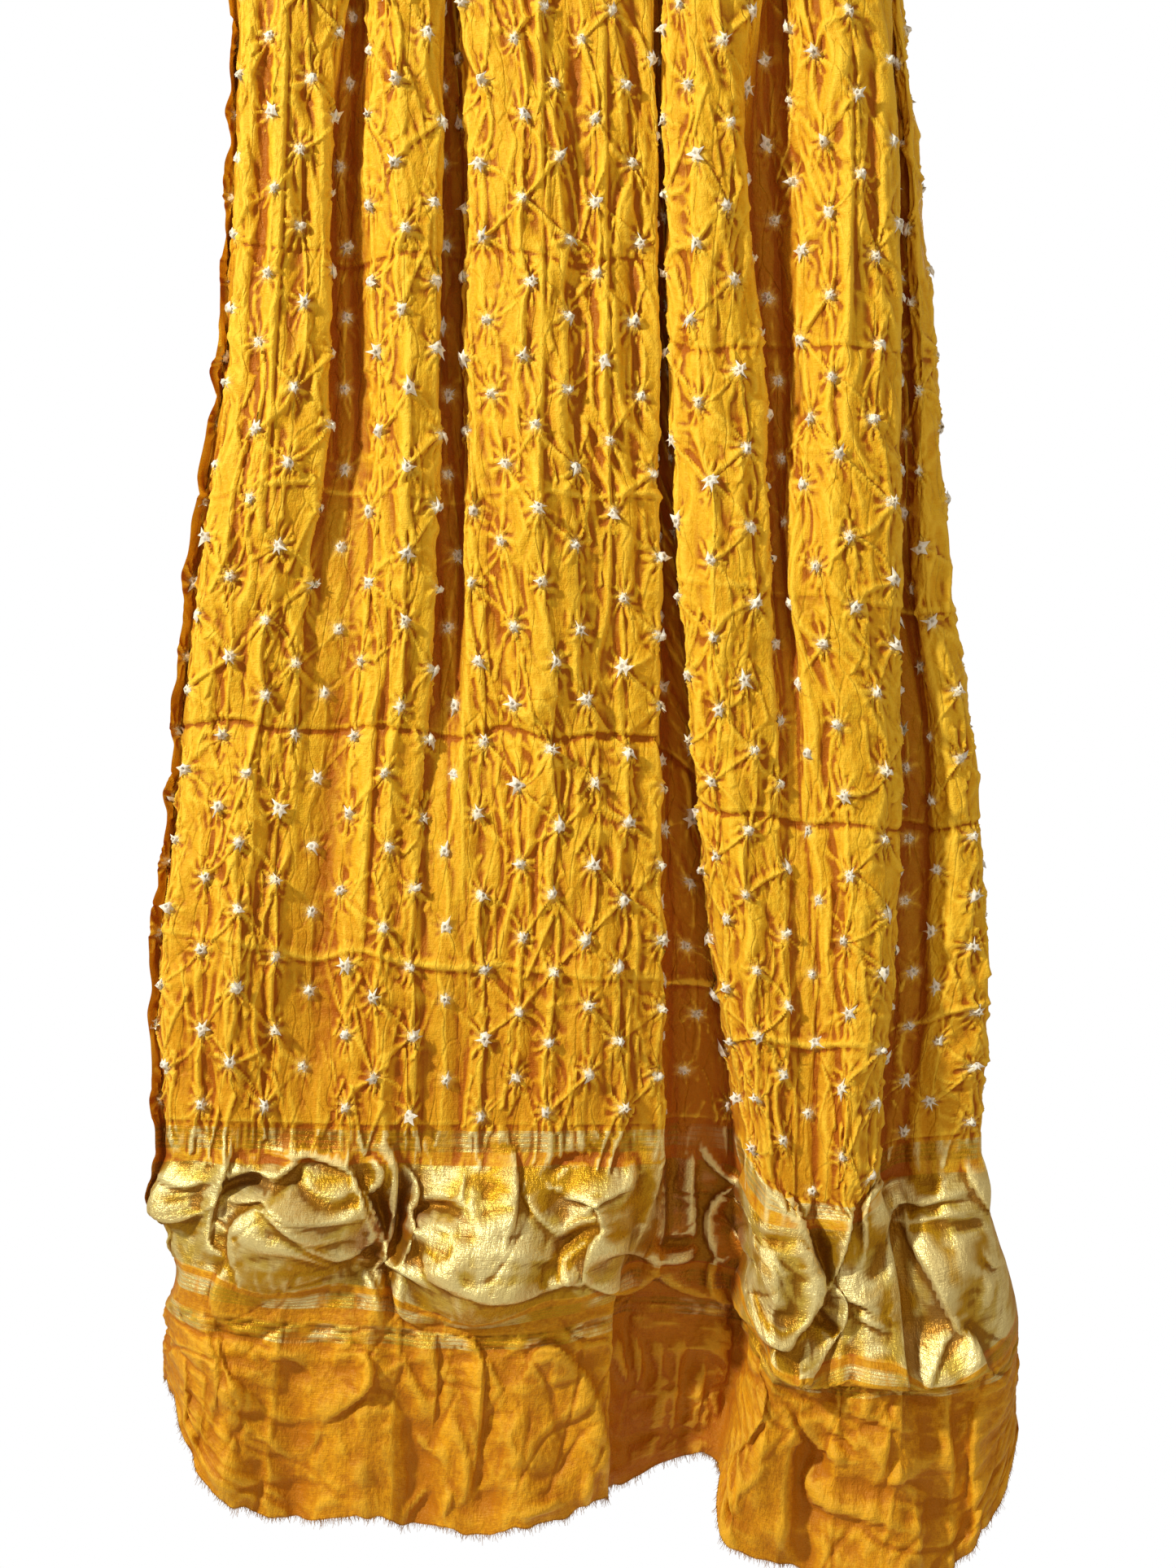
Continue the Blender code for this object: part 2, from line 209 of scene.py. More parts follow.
# How the middle-sized crinkles settle: rounds and stiffness, the longest wave they keep, the
# share of them that is kept, and how far they may move on the folds and in the valleys.
RELAX_ROUNDS = 56
RELAX_SMOOTHING = 0.10
LOW_PASS_HALF = 14.0
SETTLED_SHARE = 0.6
CRINKLE_ROOM = 6.5
VALLEY_ROOM = 1.9
# Painted shade of the valleys: how far round a place the depth is averaged, how far behind that the
# painted shade starts to deepen, and over what further depth.
VALLEY_REACH = 85.0
VALLEY_START = 3.0
VALLEY_DEPTH = 13.0
# Spare height of a pleat's window, because the rows of the grid aren't quite level.
WINDOW_MARGIN = 8
# Strength of the small creases at heights above the hem: as seeds that settle, and as fine relief.
CRUMPLE_SEEDS = ((0, 115, 158, 262, 290, 330), (0.3, 0.3, 0.1, 0.1, 0.8, 1.0))
CRUMPLE_RISE = ((0, 115, 150, 262, 290, 330), (0.6, 0.5, 0.2, 0.06, 1.2, 1.6))

# Tied dots, on a staggered lattice in the flat cloth.
KNOT_ACROSS = 26.0
KNOT_UP = 51.0
KNOT_FIRST_ACROSS = 11.0
KNOT_FIRST_UP = 304.0
KNOT_JITTER = 4.5
KNOT_HEIGHT = 2.6
KNOT_RADIUS = 4.2
TIP_RADIUS = 5.2
TIP_HEIGHT = 2.8
# No dot stands nearer than this to the right selvedge and to the top edge.
KNOT_EDGE = 6
KNOT_TOP_EDGE = 8
# How far round each dot its way is noted, and the distance noted everywhere else.
KNOT_REACH = 22.0
FAR_FROM_KNOTS = 60.0
# Rings of a tied tip from its foot to its pit: share of its radius, share of its height, share of painted pit
# shade.
TipRing = namedtuple("TipRing", "reach lift pit")
TIP_RINGS = (
    TipRing(1.0, 0.05, 0.0), TipRing(0.62, 0.55, 0.0),
    TipRing(0.40, 0.95, 0.0), TipRing(0.22, 0.85, 0.5),
)
TIP_PIT_LIFT = 0.35

# Pinched pleats from each tied dot towards its neighbours: one row for each direction. They
# rise slowly on their left, lean over to the right and fall steeply there.
Pinch = namedtuple("Pinch", "across up odds rise")
PINCHES = (
    Pinch(KNOT_ACROSS, KNOT_UP / 2, 0.42, 2.8),
    Pinch(0.0, KNOT_UP, 0.82, 3.2),
    Pinch(-KNOT_ACROSS, KNOT_UP / 2, 0.46, 2.8),
)
PLEAT_LEFT = 4.6
PLEAT_RIGHT = 2.1
PLEAT_LEAN = 0.62
# Short rays from each dot, in random directions.
RAYS = 7
RAY_RISE = 1.7
# Loose creases between the dots, and the fan of short tension folds round each dot.
LOOSE_CREASES = 900
LOOSE_LENGTH = 32.0
LOOSE_RISE = 2.6
SPOKES = 9
SPOKE_RISE = 1.5
SPOKE_REACH = 13.5
SPOKE_SQUEEZE = 0.62

# Sharper edges of the packing creases: height above the hem, rise (below 0 a trough), half width.
Edge = namedtuple("Edge", "height rise half_width")
EDGES = (Edge(CREASE_2, 3.2, 8), Edge(CREASE_1, -3.4, 8), Edge(CREASE_0, 1.8, 7), Edge(TOP_CREASE, -1.6, 7))
EDGE_STEEP = 0.4

# Soft ridges (rise above 0) and troughs as seen from the front: places across and drops of the
# start, the bend and the end, rise, width of its gentle side and how far the crest leans over
# its steep side, which lies below it or on its right where the lean is above 0.
STEEP_SIDE = 3.9
LEAN_SHARE = 0.85
# The folds are smoothed once and made this much stronger, to keep their height.
FOLD_GAIN = 1.35
# Folds that stand further forward than FRONT_SOFT ease off within FRONT_ROOM.
FRONT_SOFT = -26.0
FRONT_ROOM = 9.0
# Rows of the three fold tables below hold the columns of Ridge.
Ridge = namedtuple("Ridge", "x0 drop0 x1 drop1 x2 drop2 rise gentle lean")
TOP_PLEATS = (
    (-192, 20, -194, 120, -200, 230, 4, 6, 0.0), (-183, 5, -184, 150, -196, 330, -3, 5, 0.0),
    (-169, 5, -173, 160, -184, 350, 4, 7, 0.3), (-156, 5, -158, 130, -165, 260, -4, 6, 0.0),
    (-14, 5, -12, 160, -14, 380, 3, 5, 0.3), (11, 5, 8, 170, 12, 400, -3, 5, 0.0),
    (26, 5, 27, 180, 30, 420, 3, 5, 0.3), (44, 5, 46, 180, 46, 400, -3, 5, 0.0),
    (-112, 420, -118, 520, -122, 600, 3, 7, 0.2), (176, 30, 178, 140, 176, 260, 3, 6, 0.2),
    (190, 40, 192, 160, 190, 300, -3, 5, 0.0),
)
# Where the cloth is slack and buckles along its folds: heights, slack as a share, how far it may
# move, the longest wave, rounds and stiffness of its settling, and how strong the folds start.
SlackZone = namedtuple("SlackZone", "foot head fade slack_across slack_up room wave rounds smoothing noise")
PANEL_ZONE = SlackZone(0, 128, 26, 1.05, 1.06, 9.0, 60, 8, 0.04, 2.2)
BAND_ZONE = SlackZone(118, 296, 30, 1.08, 1.04, 14.0, 90, 6, 0.035, 0.5)

# Thin creases of the end panel and the band, along the lines where soft noises change sign.
ThinCrease = namedtuple("ThinCrease", "slope across up width seed")
THIN_CREASES = (
    ThinCrease(0.4, 30, 44, 0.22, 61),
    ThinCrease(-0.6, 27, 36, 0.24, 62),
    ThinCrease(0.9, 36, 24, 0.26, 63),
    ThinCrease(-0.2, 24, 52, 0.24, 64),
)
PANEL_CREASE_DEPTH = 1.6
BAND_CREASE_DEPTH = 0.9

# Rounded bulges of the band as seen from the front; rows hold the columns of Bulge.
Bulge = namedtuple("Bulge", "x drop half_across half_down forward side down")
BULGES = (
    (-252, 760, 30, 26, 3, -11, 2), (-250, 808, 18, 22, -4, 8, 0),
    (-162, 772, 42, 36, 8, 0, 2), (-96, 762, 20, 44, -8, 0, 0),
    (-42, 800, 54, 40, 10, 0, 4), (30, 772, 30, 38, 8, 2, 3),
    (64, 790, 22, 30, 5, 3, 3), (130, 800, 40, 50, 6, 0, 2),
    (182, 740, 26, 40, 4, 0, 6), (238, 800, 26, 34, 8, 3, 3),
    (272, 752, 22, 22, 2, 7, 0), (226, 862, 52, 24, 9, 0, 5),
    (150, 862, 30, 18, 6, 0, 5),
)
BAND_FOLDS = (
    # side bulge and the strips folded over beside it
    (-256, 752, -244, 771, -222, 768, 7, 16, 0.5), (-250, 742, -232, 752, -212, 744, 4, 8, 0.4),
    (-204, 733, -212, 752, -219, 778, 7, 6, 0.6), (-216, 778, -218, 790, -208, 798, 5, 5, 0.5),
    (-212, 758, -192, 752, -178, 757, -8, 5, 0), (-178, 757, -170, 754, -160, 748, -5, 4, 0),
    (-206, 749, -190, 742, -176, 748, 6, 6, 0.4), (-176, 748, -168, 742, -158, 735, 6, 6, 0.4),
    (-200, 763, -186, 760, -170, 756, 5, 5, 0.5), (-196, 737, -188, 741, -180, 737, -4, 4, 0),
    # first pouch
    (-176, 735, -152, 734, -129, 745, 5, 6, 0.4), (-129, 745, -126, 765, -118, 786, 8, 18, 0.6),
    (-162, 748, -158, 760, -146, 768, -4, 5, 0), (-146, 768, -134, 766, -130, 756, -3, 5, 0),
    (-182, 760, -160, 774, -124, 772, 5, 9, 0.5), (-182, 768, -156, 784, -126, 783, 4, 7, 0.5),
    (-172, 779, -150, 792, -132, 796, 4, 8, 0.5), (-186, 794, -162, 796, -138, 804, 3, 6, 0.4),
    (-186, 770, -199, 782, -200, 802, 7, 22, -0.5), (-202, 802, -212, 822, -206, 838, 5, 12, -0.3),
    (-140, 798, -128, 793, -118, 788, 5, 6, 0.6),
    # crinkles between the first and second pouch
    (-118, 738, -112, 748, -121, 758, 6, 5, 0.6), (-124, 755, -117, 772, -110, 798, 7, 6, 0.6),
    (-105, 733, -104, 760, -111, 800, 8, 6, 0.6), (-99, 742, -90, 756, -95, 772, 6, 5, 0.6),
    (-95, 768, -92, 784, -97, 798, 6, 5, 0.6), (-112, 762, -111, 775, -112, 790, -7, 5, 0),
    (-100, 760, -101, 775, -100, 792, -6, 4, 0), (-126, 790, -116, 796, -106, 806, -5, 5, 0),
    (-111, 798, -96, 802, -80, 816, 7, 6, 0.6), (-106, 804, -104, 815, -104, 832, -7, 5, 0),
    (-102, 812, -96, 830, -84, 838, 5, 7, 0.5), (-122, 806, -116, 818, -110, 836, 4, 7, 0.5),
    # second pouch
    (-94, 773, -76, 768, -60, 772, -6, 5, 0), (-90, 780, -78, 777, -64, 782, 4, 5, 0.4),
    (-95, 798, -90, 785, -80, 781, 6, 8, -0.4), (-60, 745, -61, 758, -62, 770, 3, 6, 0.3),
    (-31, 730, -29, 756, -31, 782, 6, 12, 0.5), (-62, 774, -52, 790, -30, 789, -4, 6, 0),
    (-64, 792, -34, 796, 2, 798, 4, 8, 0.2), (-22, 758, -10, 774, 2, 784, 4, 8, 0.4),
    (-82, 796, -76, 808, -62, 818, 7, 22, 0.4), (-62, 818, -36, 823, -8, 816, 7, 20, 0.4),
    (-8, 816, 0, 812, 12, 806, 5, 9, 0.5), (-6, 746, 4, 738, 20, 737, -4, 4, 0),
    # third pouch and the flap beside it
    (4, 759, 24, 760, 42, 752, 6, 12, 0.5), (44, 738, 44, 750, 42, 760, 4, 6, 0.3),
    (16, 770, 24, 764, 29, 786, 6, 4, 0.6), (28, 784, 20, 796, 17, 812, 6, 7, -0.5),
    (-2, 796, 10, 786, 26, 782, -5, 5, 0), (2, 806, 8, 812, 17, 812, 5, 6, 0.5),
    (22, 802, 40, 792, 57, 800, 5, 6, 0.5), (20, 814, 40, 816, 60, 806, 6, 8, 0.6),
    (62, 740, 62, 765, 61, 792, 5, 12, 0.5),
    # middle valley
    (62, 788, 72, 790, 84, 787, -4, 4, 0), (60, 798, 72, 799, 82, 796, 4, 5, 0.5),
    (60, 808, 76, 816, 96, 822, 5, 6, 0.5), (82, 736, 80, 756, 83, 788, 4, 5, 0.5),
    # twisted folds
    (88, 730, 96, 740, 112, 754, 4, 4, 0.5), (112, 732, 108, 745, 102, 758, 5, 4, 0.6),
    (104, 757, 93, 775, 98, 798, 7, 6, -0.5), (98, 800, 93, 812, 103, 828, 6, 5, -0.4),
    (105, 764, 112, 772, 118, 790, 7, 6, 0.6), (104, 780, 110, 796, 120, 808, 7, 7, 0.6),
    (108, 812, 114, 830, 134, 846, 7, 9, 0.6), (116, 778, 122, 786, 136, 790, -4, 5, 0),
    (118, 820, 134, 836, 150, 828, -4, 6, 0), (122, 738, 142, 768, 157, 806, 8, 12, 0.6),
    (146, 740, 152, 752, 150, 772, 5, 4, 0.6), (150, 796, 156, 824, 136, 852, 8, 8, 0.6),
    (180, 756, 172, 786, 164, 816, 8, 10, 0.6), (164, 816, 172, 832, 158, 860, 7, 7, 0.6),
    (160, 784, 160, 800, 160, 816, -8, 6, 0), (155, 832, 162, 838, 168, 846, -5, 4, 0),
    (120, 842, 132, 848, 146, 850, 6, 4, 0.6), (128, 856, 142, 868, 158, 862, 6, 5, 0.6),
    (132, 866, 136, 874, 142, 882, 4, 4, 0.4), (150, 862, 154, 872, 172, 880, 6, 7, 0.6),
    # pouch of the right panel and its curved flap
    (172, 822, 186, 825, 200, 834, 5, 12, 0.6), (184, 835, 192, 838, 202, 843, 4, 6, 0.6),
    (191, 792, 192, 762, 212, 751, 6, 7, -0.3), (200, 786, 203, 764, 226, 762, 7, 6, 0.5),
    (212, 751, 222, 760, 250, 757, 5, 6, 0.5), (206, 776, 220, 773, 252, 770, 4, 6, 0.5),
    (196, 784, 197, 800, 190, 816, -5, 7, 0), (213, 774, 222, 795, 234, 816, 8, 14, -0.5),
    (232, 812, 238, 826, 246, 844, 7, 10, -0.5), (222, 872, 230, 856, 242, 842, 5, 7, 0.5),
    (250, 845, 256, 858, 266, 880, 7, 12, 0.6), (240, 779, 250, 780, 260, 777, -4, 4, 0),
    (250, 740, 260, 758, 272, 776, 6, 6, 0.5), (262, 792, 266, 800, 274, 800, 4, 5, 0.5),
    (258, 806, 264, 816, 260, 830, 4, 6, 0.5),
    # ledge over the right end of the panel
    (140, 868, 176, 878, 212, 876, 8, 16, 0.6), (212, 876, 236, 870, 266, 872, 8, 14, 0.6),
)
PANEL_FOLDS = (
    # upright folds at the left edge
    (-236, 850, -232, 880, -238, 905, 4, 5, 0.5), (-228, 845, -222, 880, -230, 915, 4, 5, 0.5),
    (-220, 845, -214, 875, -220, 905, 4, 5, 0.5),
    # left lobe
    (-212, 846, -208, 868, -192, 883, 5, 14, 0.4), (-180, 862, -166, 857, -150, 870, 4, 9, 0.4),
    (-180, 893, -166, 897, -152, 894, 3, 7, 0.4), (-190, 905, -172, 915, -164, 926, 3, 8, 0.4),
    (-122, 858, -120, 876, -147, 897, 6, 12, 0.5), (-152, 898, -150, 908, -156, 916, 3, 6, 0.4),
    (-96, 860, -90, 876, -84, 888, 4, 6, 0.4), (-80, 842, -78, 870, -80, 905, 5, 10, 0.4),
    (-88, 905, -80, 915, -66, 922, 3, 6, 0.4), (-60, 848, -50, 870, -56, 938, 5, 7, 0.5),
    (-66, 896, -60, 918, -58, 942, 4, 5, 0.4), (-48, 858, -42, 870, -36, 884, 3, 6, 0.4),
    (-34, 905, -30, 915, -24, 925, 3, 6, 0.4), (-16, 862, 0, 857, 22, 886, 6, 16, -0.5),
    (22, 884, 26, 905, 31, 932, 6, 16, 0.5),
    # puckers at the hem
    (-96, 958, -90, 948, -82, 940, 4, 4, 0.4), (-74, 958, -70, 948, -66, 942, 4, 4, 0.4),
    (-22, 958, -10, 952, 2, 948, 4, 4, 0.4), (16, 950, 18, 940, 18, 930, 4, 4, 0.4),
    # recess between the lobes
    (36, 846, 37, 860, 42, 876, 4, 5, 0.5), (45, 846, 48, 862, 48, 878, 4, 4, 0.5),
    (60, 850, 62, 880, 58, 916, 4, 6, 0.5), (76, 845, 70, 880, 70, 914, 4, 6, 0.5),
    (88, 862, 84, 884, 80, 906, 4, 5, 0.5),
    # right lobe
    (122, 876, 118, 898, 101, 920, 6, 14, 0.5), (140, 894, 144, 906, 150, 916, 4, 5, 0.4),
    (150, 894, 158, 912, 178, 923, 4, 7, 0.4), (151, 908, 149, 930, 145, 958, -7, 6, 0),
    (163, 901, 176, 908, 190, 921, 4, 8, 0.4), (164, 888, 190, 896, 216, 905, 3, 9, 0.3),
    (152, 930, 158, 946, 172, 953, 4, 7, 0.4), (166, 949, 188, 957, 216, 966, 4, 9, 0.4),
    (201, 900, 199, 918, 196, 934, 4, 9, 0.4), (199, 937, 212, 933, 226, 924, 4, 8, 0.4),
    (237, 882, 237, 908, 242, 934, 5, 9, 0.4), (258, 886, 255, 920, 257, 958, 5, 8, -0.4),
    (228, 945, 223, 960, 221, 978, 3, 6, 0.4), (140, 955, 138, 966, 136, 976, 3, 5, 0.4),
    (104, 945, 112, 940, 124, 930, 3, 7, 0.3),
)

# Colours, in linear light.
FIELD_LIGHT = (0.86, 0.53, 0.024)
FIELD_DEEP = (0.74, 0.35, 0.008)
FIELD_LOW = (0.60, 0.22, 0.005)
# Painted highlight on the crests of the crinkles, and painted shade in their creases and valleys:
CREST_HIGHLIGHT = (0.98, 0.62, 0.045)
CREASE_SHADE = (0.36, 0.075, 0.002)
# Share of the painted valley shade in the tied field.
VALLEY_SHADE_SHARE = 0.7
HALO_COLOUR = (0.96, 0.66, 0.14)
UNDYED_COLOUR = (0.92, 0.84, 0.62)
# Painted shade in the creases of the end panel.
PANEL_CREASE_SHADE = (0.46, 0.15, 0.003)
PANEL_LIGHT = (0.83, 0.385, 0.008)
PANEL_DEEP = (0.46, 0.16, 0.003)
# Painted shade at the left end of the end panel.
PANEL_LEFT_SHADE = (0.34, 0.10, 0.002)
METAL_PALE = (0.67, 0.48, 0.08)
# Painted highlight of the metal thread: its gleaming patches and the band's crests.
METAL_HIGHLIGHT = (0.90, 0.78, 0.36)
METAL_DEEP = (0.34, 0.18, 0.012)
# Mustard where the metal thread is worn and the silk weft shows, partly painted darker reflection of
# folded-over thread.
METAL_MUSTARD = (0.52, 0.28, 0.010)
# Painted shade in the creases of the metal thread.
METAL_HOLLOW_SHADE = (0.30, 0.12, 0.004)
METAL_SHARE = 0.5
TIP_WHITE = (0.95, 0.93, 0.86)
TIP_CREAM = (0.84, 0.74, 0.50)
# Painted shade in the pits of the tied tips.
TIP_PIT_SHADE = (0.38, 0.29, 0.18)
THREAD_LIGHT = (0.55, 0.27, 0.03)
THREAD_DEEP = (0.24, 0.09, 0.01)

# Woven stripes: heights of their lower and upper edges in the flat cloth.
WIDE_STRIPE = (160, 268)
BAND_STRIPES = ((277, 290.5),)
PANEL_STRIPES = ((140, 153), (113, 127))
STRIPE_LINES = 4
# Loose threads of the hem: pitch along it and length of the longest.
FRAY_PITCH = 0.35
FRAY_LENGTH = 3.8
FLOOR_Z = -1.25

Light = namedtuple("Light", "name place size watts colour")
LIGHTS = (
    Light("key", (-2.3, -1.5, 1.15), 0.24, 108, (1.0, 0.98, 0.90)),
    Light("fill", (1.2, -2.2, 0.1), 1.6, 9, (1.0, 0.98, 0.95)),
    Light("back", (0.6, 2.0, 0.3), 1.6, 16, (1.0, 1.0, 1.0)),
)
LIGHT_AIM = (0.0, 0.0, -0.5)
WORLD_COLOUR = (1.0, 0.84, 0.66)


def clipped(value):
    return np.clip(value, 0.0, 1.0)


def steady_slopes(knots, values):
    """Slopes along axis 0 that never overshoot between two neighbouring values."""
    step = np.diff(knots, axis=0)
    rise = np.diff(values, axis=0) / step
    before, after = rise[:-1], rise[1:]
    same_way = before * after > 0
    weight_before, weight_after = 2 * step[1:] + step[:-1], step[1:] + 2 * step[:-1]
    parts = weight_before / np.where(same_way, before, 1.0) + weight_after / np.where(same_way, after, 1.0)
    return np.vstack([rise[:1], np.where(same_way, (weight_before + weight_after) / parts, 0.0), rise[-1:]])


def flowing(knots, values, at):
    """Smooth curves through values (axis 0) at knots, read at the places in at."""
    values, at = np.asarray(values, float), np.asarray(at, float)
    knots = np.asarray(knots, float).reshape((len(knots), -1)) + np.zeros(values.shape)
    cell = sum((at >= knot).astype(int) for knot in knots[1:-1])
    low, high, value_low, value_high, slope_low, slope_high = (
        np.take_along_axis(field, cell + step, axis=0)
        for field in (knots, values, steady_slopes(knots, values)) for step in (0, 1))
    width = high - low
    part = clipped((at - low) / width)
    rest = 1.0 - part
    return (value_low * rest * rest * (1 + 2 * part) + value_high * part * part * (3 - 2 * part)
            + width * part * rest * (slope_low * rest - slope_high * part))


def all_lines():
    """Every line down the cloth from selvedge to selvedge: names, places across and depths."""
    lines = [(line.name, line.x, line.depth) for line in LEFT_STRIP]
    before = np.array(LEFT_STRIP[-1].depth, float)
    for fold in FOLDS:
        left, right, crown = np.array((fold.left, fold.right, fold.crown), float)
        width, rise = right - left, before - crown
        lines += [(fold.name + " left", left, crown + EDGE_SINK * rise),
                  (fold.name + " shoulder", left + SHOULDER_AT * width, crown + SHOULDER_SINK * rise),
                  (fold.name + " crown", left + CROWN_AT * width, crown - CROWN_RISE * width)]
        if fold.floor_depth is None:
            continue
        floor_left, floor_right, floor = np.array(fold[4:], float)
        rise = floor - crown
        tuck = right + TUCK_ON * (floor_left - right) - TUCK_BACK * rise
        lines += [(fold.name + " nose", left + NOSE_AT * width, crown + NOSE_SINK * rise),
                  (fold.name + " edge", right, crown + EDGE_SINK * rise),
                  (fold.name + " tuck", tuck, crown + TUCK_SINK * rise),
                  (fold.name + " floor left", floor_left, floor),
                  (fold.name + " floor right", floor_right, floor)]
        before = floor
    lines += [(line.name, line.x, line.depth) for line in RIGHT_STRIP]
    names, across, depth = zip(*lines)
    return names, np.array(across, float), np.array(depth, float)


def flat_places(across, depth):
    """Where each line lies across the flat cloth at every level, from its share of the section."""
    lengths = np.hypot(np.diff(across, axis=0), np.diff(depth, axis=0))
    shares = lengths / lengths.sum(axis=0)
    shares = OWN_SHARE * shares + (1 - OWN_SHARE) * shares.mean(axis=1, keepdims=True)
    return FLAT_WIDTH * np.vstack([np.zeros(len(LEVEL_DROPS)), np.cumsum(shares, axis=0)])


def pouch_shape(across, height):
    """How far the bunched band bulges forward and how far it sags."""
    within = clipped((height - POUCH_FOOT) / (POUCH_TOP - POUCH_FOOT))
    bulge_height = np.sin(np.pi * within) ** POUCH_ROUNDNESS
    near = clipped(1.0 - np.abs(height - SAG_MIDDLE) / SAG_REACH)
    sag_height = near * near * (3 - 2 * near)
    forward, sag = np.zeros_like(height), np.zeros_like(height)
    for pouch in POUCHES:
        beside = clipped(np.abs(across - pouch.across) / pouch.half_width)
        bump = np.cos(0.5 * np.pi * beside) ** POUCH_ROUNDNESS
        forward += pouch.forward * bump * bulge_height
        sag += pouch.sag * bump * sag_height
    return forward, sag


def swell_shape(across, height):
    """How far the soft upright swells stand forward."""
    forward = np.zeros_like(height)
    for swell in SWELLS:
        beside = clipped(np.abs(across - swell.across) / swell.half_width)
        strength = clipped(np.minimum(height - swell.foot, swell.head - height) / SWELL_FADE)
        forward += swell.forward * np.cos(0.5 * np.pi * beside) ** 2 * strength
    return forward


class FlatGrid:
    """The flat cloth as a grid of threads: places across and heights above the hem, in mm."""

    def __init__(self):
        names, line_across, line_depth = all_lines()
        flat = flat_places(line_across, line_depth)
        self.line_flat = dict(zip(names, flat))
        self.across = np.linspace(0.0, FLAT_WIDTH, int(round(FLAT_WIDTH / STEP_ACROSS / 4)) * 4 + 1)
        at_levels = np.repeat(self.across[:, None], len(LEVEL_DROPS), 1)
        self.level_across = flowing(flat, line_across, at_levels).T
        self.level_depth = flowing(flat, line_depth, at_levels).T
        hang_flat = np.array([self.line_flat[hang.place][list(HEIGHT_LEVELS)] for hang in HANGS])
        hang_drops = np.array([hang[1:] for hang in HANGS], float)
        self.drops = flowing(hang_flat, hang_drops, np.repeat(self.across[:, None], len(HEIGHTS), 1)).T
        self.top = CREASE_1 + LENGTH_PER_DROP_ABOVE_CREASE_1 * self.drops[-1]
        middle_top = float(self.top.mean())
        self.levels = np.linspace(0.0, middle_top, int(round(middle_top / STEP_UP / 4)) * 4 + 1)
        self.step_across, self.step_up = self.across[1], self.levels[1]
        above = clipped((self.levels[:, None] - CREASE_1) / (middle_top - CREASE_1))
        self.height = self.levels[:, None] + above * (self.top[None, :] - middle_top)
        self.wide = np.repeat(self.across[None, :], len(self.levels), 0)

    def noise(self, cell_across, cell_up, seed, slope=0.0):
        """Smooth noise over the flat cloth, drawn out along a slope."""
        return value_noise(self.wide + slope * self.height, self.height, cell_across, cell_up, seed)

    def window(self, low, high):
        """Rows and columns around the part of the grid between two corners."""
        columns = slice(max(0, int(low[0] / self.step_across)),
                        min(len(self.across), int(high[0] / self.step_across) + 2))
        if columns.start >= columns.stop:
            return None
        heights = self.height[:, columns.start]
        rows = np.flatnonzero((heights > low[1] - WINDOW_MARGIN) & (heights < high[1] + WINDOW_MARGIN))
        return (slice(rows[0], rows[-1] + 1), columns) if len(rows) else None

    def hung(self):
        """The smooth hung surface, in mm: x, depth and height below the top edge."""
        count = len(self.across)
        knots = np.vstack([np.repeat(np.array(HEIGHTS, float)[:, None], count, 1), self.top])
        drop = flowing(knots, np.vstack([self.drops, np.zeros(count)]), self.height)
        x = flowing(LEVEL_DROPS, self.level_across, drop)
        depth = flowing(LEVEL_DROPS, self.level_depth, drop)
        forward, sag = pouch_shape(self.wide, self.height)
        forward += swell_shape(self.wide, self.height)
        depth += np.interp(self.height, *zip(*CREASES)) - forward
        drop += sag
        spread = depth / VIEW_DISTANCE
        x += (x - VIEW_MIDDLE_X) * spread
        z = -drop - np.clip(drop - VIEW_MIDDLE_DROP, 0.0, None) * spread
        return np.stack([x, depth, z], axis=-1)


def unit(vectors):
    return vectors / (np.sqrt((vectors * vectors).sum(axis=-1, keepdims=True)) + 1e-9)


def grid_normals(points):
    """Normals of a grid of points, towards the front where the cloth faces it."""
    return unit(np.cross(np.gradient(points, axis=1), np.gradient(points, axis=0)))


def knot_places(grid):
    """Centres of the tied dots in the flat cloth, in columns that stagger by half a step."""
    chance = np.random.default_rng(SEED)
    places = []
    for column, across in enumerate(np.arange(KNOT_FIRST_ACROSS, FLAT_WIDTH - KNOT_EDGE, KNOT_ACROSS)):
        top = np.interp(across, grid.across, grid.top) - KNOT_TOP_EDGE
        for height in np.arange(KNOT_FIRST_UP + column % 2 * KNOT_UP / 2, top, KNOT_UP):
            places.append((across, height) + chance.uniform(-KNOT_JITTER, KNOT_JITTER, 2))
    return np.array(places)


def value_noise(x, y, cell_x, cell_y, seed):
    """Smooth noise from -1 to 1 with cells of the given size."""
    u, v = x / cell_x, y / cell_y
    u, v = u - np.floor(u.min()), v - np.floor(v.min())
    column, row = u.astype(int), v.astype(int)
    lattice = np.random.default_rng(SEED + seed).uniform(-1, 1, (row.max() + 2, column.max() + 2))
    u, v = u - column, v - row
    u, v = u * u * (3 - 2 * u), v * v * (3 - 2 * v)
    low = lattice[row, column] * (1 - u) + lattice[row, column + 1] * u
    high = lattice[row + 1, column] * (1 - u) + lattice[row + 1, column + 1] * u
    return low * (1 - v) + high * v


def path_distance(x, y, path):
    """Distance to a path of points, and how far along it the nearest place is (0 to 1)."""
    nearest, along = np.full(x.shape, np.inf), np.zeros(x.shape)
    for index, (start, end) in enumerate(zip(path[:-1], path[1:])):
        way = end - start
        part = clipped(((x - start[0]) * way[0] + (y - start[1]) * way[1]) / (way @ way + 1e-9))
        far = np.hypot(x - start[0] - part * way[0], y - start[1] - part * way[1])
        closer = far < nearest
        nearest = np.where(closer, far, nearest)
        along = np.where(closer, (index + part) / (len(path) - 1), along)
    return nearest, along


def bent_path(start, bend, end, steps):
    """Points of a smooth curve from start to end that is drawn towards the bend."""
    part = np.linspace(0.0, 1.0, steps + 1)[:, None]
    pull = 2 * np.asarray(bend, float) - 0.5 * (np.asarray(start, float) + np.asarray(end, float))
    return (1 - part) ** 2 * start + 2 * part * (1 - part) * pull + part ** 2 * end


